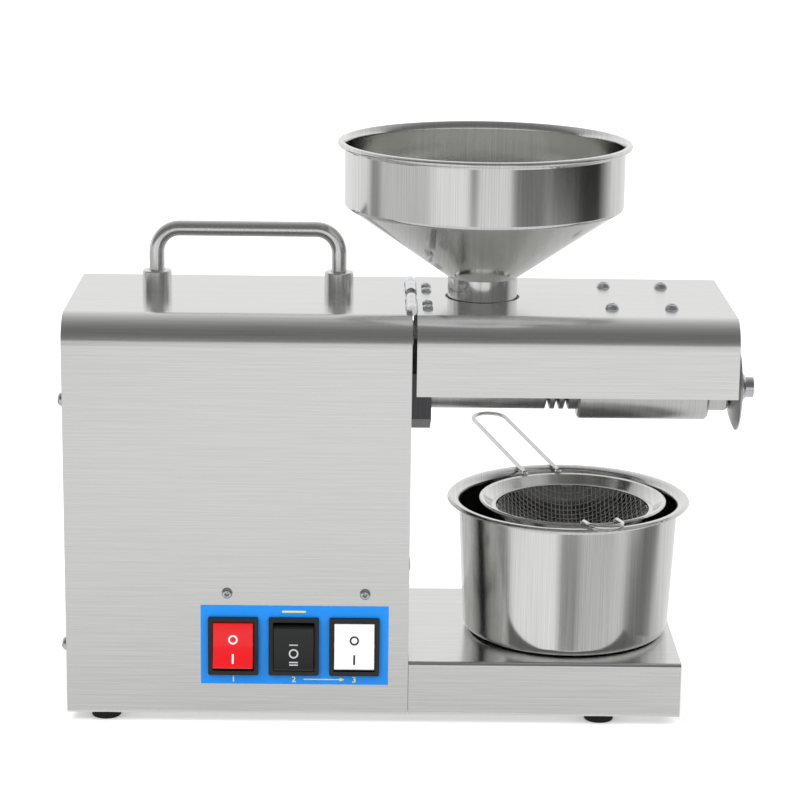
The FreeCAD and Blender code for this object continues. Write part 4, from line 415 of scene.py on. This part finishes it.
# spun and polished: sharp enough to show flags, with the softness of a mop finish
FINISHES["polished_stainless"] = steel("stainless_304_spun_polished", "#DADAD8", 0.13,
                                       (0.4 * MM, 90 * MM, 0.0), "X")
# woven wire: drawn bright, dulled by the loom
FINISHES["wire_cloth"] = steel("stainless_woven_wire", "#C8C8C6", 0.3)
# handle rod and ferrules: turned bar, brushed round
FINISHES["satin_rod"] = steel("stainless_bar_satin", "#DEDEDC", 0.22, (40 * MM, 0.5 * MM, 0.01 * MM))
# rolled hinges and screws: bright zinc, slightly blue and uneven
FINISHES["hinge_steel"] = steel("zinc_plated_hinge_steel", "#D4D6D8", 0.16)
FINISHES["screw_steel"] = steel("zinc_plated_screw_steel", "#CDCFD1", 0.18)
# press barrel and screw: hardened tool steel, turned, a little grey
FINISHES["press_steel"] = steel("turned_tool_steel", "#CDCDCB", 0.36,
                                (0.4 * MM, 60 * MM, 0.01 * MM), "X")
FINISHES["sleeve_steel"] = steel("satin_heater_sleeve_steel", "#D2D2D0", 0.34,
                                 (0.5 * MM, 60 * MM, 0.01 * MM), "X")
FINISHES["ground_steel"] = steel("ground_shaft_steel", "#C6C7C8", 0.18,
                                 (0.4 * MM, 40 * MM, 0.005 * MM), "X")
FINISHES["gear_steel"] = steel("hobbed_gear_steel", "#ACADB0", 0.33, (6 * MM, 0.5 * MM, 0.01 * MM), "X")
# die-cast aluminium: fine sand-like skin
FINISHES["cast_aluminium"] = steel("die_cast_aluminium", "#B9BBBD", 0.48,
                                   (0.8 * MM, 0.8 * MM, 0.05 * MM))
FINISHES["motor_iron"] = steel("lacquered_lamination_iron", "#6E6F72", 0.5,
                               (0.5 * MM, 30 * MM, 0.05 * MM), "X")
FINISHES["bush_bronze"] = steel("sintered_bronze", "#B98A52", 0.42, (0.3 * MM, 0.3 * MM, 0.02 * MM))
FINISHES["zinc_plate"] = steel("zinc_plated_sheet", "#B4B9BD", 0.34, (9 * MM, 9 * MM, 0.0))
FINISHES["capacitor_can"] = steel("drawn_aluminium_can", "#CFD0D2", 0.25,
                                  (0.5 * MM, 40 * MM, 0.005 * MM), "Z")
# locking nut: heat-blackened, nearly dull
FINISHES["blackened_steel"] = steel("oil_blackened_steel", "#5C5C5E", 0.42,
                                    (0.6 * MM, 20 * MM, 0.02 * MM), "X")
print("metals:", len(FINISHES))

# %% [markdown]
# Everything else is moulded, printed or woven: glass-filled nylon for the bezels and the inlet,
# polycarbonate rockers, a polyester label, rubber feet, steatite ceramic and a braided
# glass sleeve on the heater's wires. A fine grain in the bump keeps each from looking like paint.

# %% Plastics, rubber and the rest
PLASTIC_SWING = 0.04        # how far the roughness goes up and down with the grain
PLASTIC_BUMP = 0.25


def moulded(name, tone, roughness, grain_size, depth, specular=0.5, tone_drift=0.05):
    material, tree, shader = new_finish(name)
    grain = stretched_noise(tree, grain_size, grain_size)
    base = linear(tone)
    dark = [c * (1 - tone_drift) for c in base[:3]] + [1]
    pale = [min(c * (1 + tone_drift), 1) for c in base[:3]] + [1]
    tree.links.new(mix(tree, grain, dark, pale), shader.inputs["Base Color"])
    blur = add(tree, "ShaderNodeMapRange", {"Value": grain, "To Min": roughness - PLASTIC_SWING,
                                            "To Max": roughness + PLASTIC_SWING}).outputs["Result"]
    tree.links.new(blur, shader.inputs["Roughness"])
    bump = add(tree, "ShaderNodeBump", {"Height": grain, "Strength": PLASTIC_BUMP,
                                        "Distance": depth}).outputs[0]
    tree.links.new(bump, shader.inputs["Normal"])
    shader.inputs["Specular IOR Level"].default_value = specular
    return material


FINISHES["black_nylon"] = moulded("black_glass_filled_nylon", "#161717", 0.42, 0.5 * MM, 0.02 * MM)
FINISHES["red_rocker"] = moulded("red_polycarbonate", "#E3141C", 0.22, 1.5 * MM, 0.005 * MM)
FINISHES["white_rocker"] = moulded("white_polycarbonate", "#F4F4F4", 0.25, 1.5 * MM, 0.005 * MM,
                                   0.5, 0.01)
FINISHES["label_film"] = moulded("blue_polyester_label_film", "#0A8FF2", 0.38, 0.6 * MM, 0.004 * MM,
                                 0.4, 0.02)
FINISHES["foot_rubber"] = moulded("black_foot_rubber", "#1A1A1A", 0.75, 0.4 * MM, 0.03 * MM, 0.3)
FINISHES["ceramic_block"] = moulded("steatite_ceramic", "#E4DECF", 0.5, 0.6 * MM, 0.02 * MM)
FINISHES["glass_sleeving"] = moulded("braided_glass_sleeving", "#DAD5C8", 0.8, 0.7 * MM, 0.12 * MM,
                                     0.3, 0.12)
FINISHES["circuit_board"] = moulded("green_fibreglass_board", "#1E6B38", 0.35, 1.2 * MM, 0.01 * MM)
print("finishes:", len(FINISHES))

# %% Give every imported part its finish
def dress_packed_parts():
    for row in frame["record"]["subparts"]:
        part = NODES[row["node"]]
        for holder in part.material_slots:
            holder.material = FINISHES["end_panel" if row["node"] in END_PANELS
                                       else row["material_slot"]]


dress_packed_parts()
print("dressed parts:", len(NODES))

# %% [markdown]
# The strainer's bowl is plain-weave wire cloth: every wire goes over one and under the next. The
# solid from the model is a closed skin, so woven wires stand in for it here, on the same ball.
#
# Each wire is a thin tube along a circle cut from the ball. A cosine lifts it at one crossing and
# lowers it at the next, and the wires of the other set do the opposite.

# %% Woven bowl of the strainer
WIRE_PITCH = 2.2 * MM
WIRE_DIA = 0.5 * MM
WIRE_SIDES = 5
STEPS_PER_PITCH = 4
CLOTH_INSET = WIRE_DIA * 1.1        # the cloth's middle layer lies this far inside the solid's skin
CLOTH_CREASE = 80                   # degrees


def link_piece(name, mesh, finish, body, slot=None):
    """Puts a finished mesh in the scene and on its body. The slot argument is not used."""
    mesh.materials.clear()
    mesh.materials.append(FINISHES[finish])
    piece = bpy.data.objects.new(name, mesh)
    bpy.context.collection.objects.link(piece)
    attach(piece, body)
    slot or finish
    return piece


def mesh_from(bm, name, crease=40):
    bmesh.ops.recalc_face_normals(bm, faces=bm.faces)
    mesh = bpy.data.meshes.new(name)
    bm.to_mesh(mesh)
    bm.free()
    for polygon in mesh.polygons:
        polygon.use_smooth = True
    mesh.set_sharp_from_angle(angle=math.radians(crease))
    return mesh


def add_wire(bm, points, side, radius):
    """A closed tube along points that lie in the plane square to side."""
    rings = []
    for number, point in enumerate(points):
        ahead = points[min(number + 1, len(points) - 1)] - points[max(number - 1, 0)]
        up = ahead.cross(side).normalized()
        turns = [2 * math.pi * k / WIRE_SIDES for k in range(WIRE_SIDES)]
        rings.append([bm.verts.new(point + (side * math.cos(a) + up * math.sin(a)) * radius)
                      for a in turns])
    for first, second in zip(rings, rings[1:]):
        for k in range(WIRE_SIDES):
            after = (k + 1) % WIRE_SIDES
            bm.faces.new((first[k], first[after], second[after], second[k]))
    bm.faces.new(rings[0][::-1])
    bm.faces.new(rings[-1])


def weave_bowl():
    low, high = [Vector(corner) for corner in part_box("strainer_mesh")]
    edge = (high.x - low.x) / 2
    deep = high.z - low.z
    ball = (edge * edge + deep * deep) / (deep * 2)
    middle = Vector(((low.x + high.x) / 2, (low.y + high.y) / 2, low.z + ball))
    layer = ball - CLOTH_INSET
    rim = math.sqrt(layer * layer - (high.z - middle.z) ** 2)
    bm = bmesh.new()
    count = int(rim / WIRE_PITCH)
    for along, across, flip in ((Vector((1, 0, 0)), Vector((0, 1, 0)), 1),
                                (Vector((0, 1, 0)), Vector((1, 0, 0)), -1)):
        for number in range(-count, count + 1):
            aside = number * WIRE_PITCH
            half = math.sqrt(rim * rim - aside * aside)
            steps = max(int(half * 2 / WIRE_PITCH * STEPS_PER_PITCH), 4)
            points = []
            for step in range(steps + 1):
                go = -half + half * 2 * step / steps
                drop = math.sqrt(layer * layer - go * go - aside * aside)
                out = along * go + across * aside + Vector((0, 0, -drop))
                lift = WIRE_DIA / 2 * math.cos(math.pi * (go / WIRE_PITCH + number)) * flip
                points.append(middle + out * (1 + lift / layer))
            add_wire(bm, points, across, WIRE_DIA / 2)
    bowl = link_piece("woven_bowl", mesh_from(bm, "woven_bowl", CLOTH_CREASE), "wire_cloth",
                      "strainer")
    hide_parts("strainer_mesh")
    return bowl, count * 2 + 1


bowl, wire_count = weave_bowl()
print("woven bowl:", wire_count, "wires each way,", len(bowl.data.polygons), "faces")

# %% [markdown]
# The wires of the handle and of the rest ear are spot-welded to the strainer's flange. A weld
# leaves a small flattened bead that runs up round the wire's end. The ends are found from the
# packed wires themselves: they are the two places nearest to the strainer's axis.

# %% Weld beads
BEAD_WIDE = 1.9 * MM
BEAD_TALL = 1.1 * MM
BEAD_DROP = 0.75 * MM       # from the wire's middle down to the bead's
END_ZONE = 1.2 * MM         # what lies this near to the innermost spot belongs to the wire's ends


def wire_ends(node):
    """Middle points of the two ends of a bent wire."""
    low, high = [Vector(corner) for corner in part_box("strainer_rim")]
    axis = (low + high) / 2
    spots = [v.co.copy() for v in NODES[node].data.vertices]
    reach = [(Vector((s.x - axis.x, s.y - axis.y, 0)).length, s) for s in spots]
    nearest = min(r for r, _ in reach)
    near = [s for r, s in reach if r < nearest + END_ZONE]
    mean = sum(near, Vector()) / len(near)
    side = Vector((-(mean.y - axis.y), mean.x - axis.x, 0))
    halves = [[s for s in near if (s - mean).dot(side) * sign > 0] for sign in (-1, 1)]
    return [sum(half, Vector()) / len(half) for half in halves if half]


def weld_beads():
    bm = bmesh.new()
    for node in ("strainer_handle", "strainer_ear"):
        for end in wire_ends(node):
            place = Matrix.Translation(end - Vector((0, 0, BEAD_DROP)))
            shape = Matrix.Diagonal((BEAD_WIDE, BEAD_WIDE, BEAD_TALL, 1))
            bmesh.ops.create_icosphere(bm, subdivisions=3, radius=1, matrix=place @ shape)
    return link_piece("strainer_weld_beads", mesh_from(bm, "strainer_weld_beads", CLOTH_CREASE),
                      "polished_stainless", "strainer")


print("weld beads:", len(weld_beads().data.vertices), "points")

# %% [markdown]
# The screws are pan-head screws with a cross recess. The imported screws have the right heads, so
# each keeps its shape and a tapered cross is cut into it with an exact boolean. Every cross is
# turned a little differently, as a hand leaves them.

# %% Cross-recessed screws
BODY_OF = {node: body for body, nodes in frame["record"]["behaviour"]["bodies"].items()
           for node in nodes}
SLOT_OF = {row["node"]: row["material_slot"] for row in frame["record"]["subparts"]}
CROSS_ARM = 0.27            # half length of an arm, its half width and the depth, in head widths
CROSS_HALF = 0.075
CROSS_DEEP = 0.2
CROSS_TOP, CROSS_TIP = 1.25, 0.5        # the cutter's scale above the head and at its floor
FIRST_TURN, NEXT_TURN = 0.35, 0.8       # radians that the crosses are turned by
SCREW_CREASE = 35                       # degrees
SAME_POINT = 0.001 * MM
SIDE_MARGIN = 20 * MM       # a panel screw this far before the housing's middle is on the front


def separate_solids(mesh):
    """Low and high corners of each loose solid in a mesh."""
    bm = bmesh.new()
    bm.from_mesh(mesh)
    bmesh.ops.remove_doubles(bm, verts=bm.verts, dist=SAME_POINT)
    left = set(bm.verts)
    boxes = []
    while left:
        group = [left.pop()]
        for vert in group:
            for edge in vert.link_edges:
                other = edge.other_vert(vert)
                if other in left:
                    left.remove(other)
                    group.append(other)
        boxes.append((Vector([min(v.co[i] for v in group) for i in range(3)]),
                      Vector([max(v.co[i] for v in group) for i in range(3)])))
    bm.free()
    return sorted(boxes, key=lambda box: tuple(box[0]))


def add_cross(bm, centre, facing, width, turn):
    """A plus-shaped prism that narrows as it goes into the head."""
    side = facing.orthogonal().normalized()
    side.rotate(Matrix.Rotation(turn, 3, facing))
    other = facing.cross(side)
    arm, half = CROSS_ARM * width, CROSS_HALF * width
    plan = [(arm, -half), (arm, half), (half, half), (half, arm), (-half, arm), (-half, half),
            (-arm, half), (-arm, -half), (-half, -half), (-half, -arm), (half, -arm), (half, -half)]
    levels = []
    for rise, scale in ((CROSS_DEEP * width, CROSS_TOP), (-CROSS_DEEP * width, CROSS_TIP)):
        levels.append([bm.verts.new(centre + (side * a + other * b) * scale + facing * rise)
                       for a, b in plan])
    top, floor = levels
    bm.faces.new(top)
    bm.faces.new(floor[::-1])
    for k in range(len(plan)):
        after = (k + 1) % len(plan)
        bm.faces.new((top[after], top[k], floor[k], floor[after]))


def outward(node, low):
    """Which way a screw's head looks: the front and back panels differ, the rest are one way."""
    if node == "panel_screws":
        shell_low, shell_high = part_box("housing_shell")
        on_front = low.y < (shell_low[1] + shell_high[1]) / 2 - SIDE_MARGIN
        return Vector((0, -1 if on_front else 1, 0))
    return Vector({"end_panel_screws": (-1, 0, 0), "gearbox_screws": (1, 0, 0)}.get(node, (0, 0, 1)))


def recess_screws(node):
    source = NODES[node]
    bm = bmesh.new()
    bm.from_mesh(source.data)
    bmesh.ops.remove_doubles(bm, verts=bm.verts, dist=SAME_POINT)
    heads = mesh_from(bm, node + "_heads")
    bm = bmesh.new()
    for number, (low, high) in enumerate(separate_solids(source.data)):
        facing = outward(node, low)
        middle = (low + high) / 2
        size = high - low
        reach = abs(size.dot(facing)) / 2
        width = min(size[i] for i in range(3) if abs(facing[i]) < 0.5)
        add_cross(bm, middle + facing * reach, facing, width,
                  FIRST_TURN + number * NEXT_TURN)
    cutter = bpy.data.objects.new(node + "_cutter", mesh_from(bm, node + "_cutter"))
    piece = bpy.data.objects.new(node + "_solid", heads)
    for part in (cutter, piece):
        bpy.context.collection.objects.link(part)
    tool = piece.modifiers.new("cross", "BOOLEAN")
    tool.operation = "DIFFERENCE"
    tool.solver = "EXACT"
    tool.object = cutter
    bpy.context.view_layer.update()
    cut = bpy.data.meshes.new_from_object(piece.evaluated_get(
        bpy.context.evaluated_depsgraph_get()))
    for part in (cutter, piece):
        bpy.data.objects.remove(part)
    for polygon in cut.polygons:
        polygon.material_index = 0
        polygon.use_smooth = True
    cut.set_sharp_from_angle(angle=math.radians(SCREW_CREASE))
    screws = link_piece(node + "_crossed", cut, "screw_steel", BODY_OF[node], SLOT_OF[node])
    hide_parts(node)
    return screws


for node in ("panel_screws", "hinge_screws", "cover_screws", "end_panel_screws", "gearbox_screws"):
    print(node, len(recess_screws(node).data.polygons), "faces")

# %% [markdown]
# Rocker switches carry moulded signs: a ring for off and a bar for on, and the three-way switch
# one bar, a ring and two bars. They are pad-printed, a few hundredths of a millimetre proud.
#
# Each sign is a narrow strip. Its points are shot along Y onto the rocker's own face, so that the
# strip follows the dished face and moves with it.

# %% Signs on the rockers
SIGN_PROUD = 0.07 * MM
SIGN_SINK = 0.1 * MM
SHOT_FROM = 20 * MM         # the points start this far in front of the bezel


def ring_sections(z, dia, stroke, parts=40):
    """Pairs of inner and outer points round a ring that sits z above the rocker's middle."""
    outer, inner = dia / 2, dia / 2 - stroke
    turns = [2 * math.pi * k / parts for k in range(parts)]
    return [((inner * math.cos(a), z + inner * math.sin(a)),
             (outer * math.cos(a), z + outer * math.sin(a))) for a in turns], True


def bar_sections(z, wide, tall, parts=6):
    """Pairs of left and right points up a bar that sits z above the rocker's middle."""
    rows = [z - tall / 2 + tall * k / parts for k in range(parts + 1)]
    return [((-wide / 2, row), (wide / 2, row)) for row in rows], False


def add_strip(bm, land, sections, closed):
    """A thin raised band; land(x, z) gives the point of the face under it."""
    rows = []
    for inner, outer in sections:
        near, far = land(*inner), land(*outer)
        lift, sink = Vector((0, -SIGN_PROUD, 0)), Vector((0, SIGN_SINK, 0))
        rows.append([bm.verts.new(p) for p in (near + lift, far + lift, far + sink, near + sink)])
    pairs = list(zip(rows, rows[1:] + rows[:1])) if closed else list(zip(rows, rows[1:]))
    for first, second in pairs:
        for k in range(4):
            after = (k + 1) % 4
            bm.faces.new((first[k], first[after], second[after], second[k]))
    if not closed:
        bm.faces.new(rows[0][::-1])
        bm.faces.new(rows[-1])


def print_signs(node, bezel, sections, finish, body):
    mesh = NODES[node].data
    tree = BVHTree.FromPolygons([v.co for v in mesh.vertices],
                                [p.vertices[:] for p in mesh.polygons])
    low, high = bezel
    middle = (low + high) / 2

    def land(x, z):
        start = Vector((middle.x + x, low.y - SHOT_FROM, middle.z + z))
        return tree.ray_cast(start, Vector((0, 1, 0)))[0] or Vector((start.x, low.y, start.z))

    bm = bmesh.new()
    for strip, closed in sections:
        add_strip(bm, land, strip, closed)
    slot = SLOT_OF[node]
    return link_piece(node + "_signs", mesh_from(bm, node + "_signs"), finish, body, slot)


FINISHES["white_print"] = moulded("white_pad_print", "#F6F6F4", 0.45, 0.8 * MM, 0.002 * MM)
FINISHES["grey_print"] = moulded("grey_pad_print", "#C9CCCE", 0.45, 0.8 * MM, 0.002 * MM)
FINISHES["black_print"] = moulded("black_pad_print", "#1C1C1E", 0.45, 0.8 * MM, 0.002 * MM)
bezels = separate_solids(NODES["switch_bodies"].data)
two_way = [ring_sections(z=4.2 * MM, dia=4.8 * MM, stroke=0.85 * MM),
           bar_sections(z=-5.3 * MM, wide=0.95 * MM, tall=4.6 * MM)]
three_way = [ring_sections(z=-2.8 * MM, dia=4.9 * MM, stroke=0.75 * MM)]
for height in (1.8 * MM, -7.3 * MM, -8.6 * MM):
    three_way.append(bar_sections(height, wide=4.4 * MM, tall=0.6 * MM))
for node, bezel, signs, finish, body in (
        ("rocker_red", bezels[0], two_way, "white_print", "red_switch"),
        ("rocker_black", bezels[1], three_way, "grey_print", "black_switch"),
        ("rocker_white", bezels[2], two_way, "black_print", "white_switch")):
    print_signs(node, bezel, signs, finish, body)
    print("signs on", node)

# %% [markdown]
# The label is a printed polyester film. Its print here is generic: the switches are numbered 1 to
# 3, and an arrow says that the second comes before the third. Blender's text object makes the
# numerals, which are then turned into a thin mesh like the rest of the print.

# %% Print on the label
PRINT_TALL = 4.2 * MM
PRINT_THICK = 0.03 * MM
NUMERAL_FAT = 0.06 * MM     # the numerals' outline is grown by this
NUMERAL_FOOT = 1.25 * MM    # from the label's lower edge to the foot of the numerals
ARROW_GAP = 5 * MM          # from the middle of a switch to the arrow's start or tip
ARROW_RISE = 1.45 * MM      # from the foot of the numerals to the arrow's middle
ARROW_HALF = 0.22 * MM      # half the width of the shaft, half the width of the head, its length
HEAD_HALF = 1.0 * MM
HEAD_LONG = 2.4 * MM
BAR_HALF_LONG = 6 * MM
BAR_HALF_TALL = 0.45 * MM
FINISHES["yellow_print"] = moulded("yellow_screen_print", "#FFF04A", 0.45, 0.8 * MM, 0.002 * MM)


def numeral_mesh(sign):
    curve = bpy.data.curves.new("numeral", "FONT")
    curve.body = sign
    curve.size = PRINT_TALL
    curve.extrude = PRINT_THICK
    curve.offset = NUMERAL_FAT
    curve.align_x = "CENTER"
    holder = bpy.data.objects.new("numeral", curve)
    bpy.context.collection.objects.link(holder)
    bpy.context.view_layer.update()
    mesh = bpy.data.meshes.new_from_object(holder.evaluated_get(
        bpy.context.evaluated_depsgraph_get()))
    bpy.data.objects.remove(holder)
    return mesh


def add_plate(bm, outline, front):
    """A thin flat plate with the given outline in X and Z."""
    faces = [[bm.verts.new((x, front + depth, z)) for x, z in outline]
             for depth in (-PRINT_THICK, PRINT_THICK)]
    bm.faces.new(faces[0])
    bm.faces.new(faces[1][::-1])
    for k in range(len(outline)):
        after = (k + 1) % len(outline)
        bm.faces.new((faces[0][after], faces[0][k], faces[1][k], faces[1][after]))


def middle_x(bezel):
    return (bezel[0].x + bezel[1].x) / 2


def print_label():
    low, high = [Vector(corner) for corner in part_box("control_label")]
    front = low.y - PRINT_THICK / 2
    base = low.z + NUMERAL_FOOT
    bm = bmesh.new()
    for sign, bezel in zip("123", bezels):
        place = Matrix.Translation((middle_x(bezel), front, base))
        glyph = numeral_mesh(sign)
        glyph.transform(place @ Matrix.Rotation(math.pi / 2, 4, "X"))
        bm.from_mesh(glyph)
    start, tip = middle_x(bezels[1]) + ARROW_GAP, middle_x(bezels[2]) - ARROW_GAP
    neck = tip - HEAD_LONG
    level = base + ARROW_RISE
    add_plate(bm, [(start, level - ARROW_HALF), (neck, level - ARROW_HALF), (neck, level - HEAD_HALF),
                   (tip, level), (neck, level + HEAD_HALF), (neck, level + ARROW_HALF),
                   (start, level + ARROW_HALF)], front)
    left, right = middle_x(bezels[1]) - BAR_HALF_LONG, middle_x(bezels[1]) + BAR_HALF_LONG
    crown = (bezels[1][1].z + high.z) / 2
    under, over = crown - BAR_HALF_TALL, crown + BAR_HALF_TALL
    add_plate(bm, [(left, under), (right, under), (right, over), (left, over)], front)
    return link_piece("label_print", mesh_from(bm, "label_print"), "yellow_print",
                      BODY_OF["control_label"], SLOT_OF["control_label"])


print("label print:", len(print_label().data.polygons), "faces")
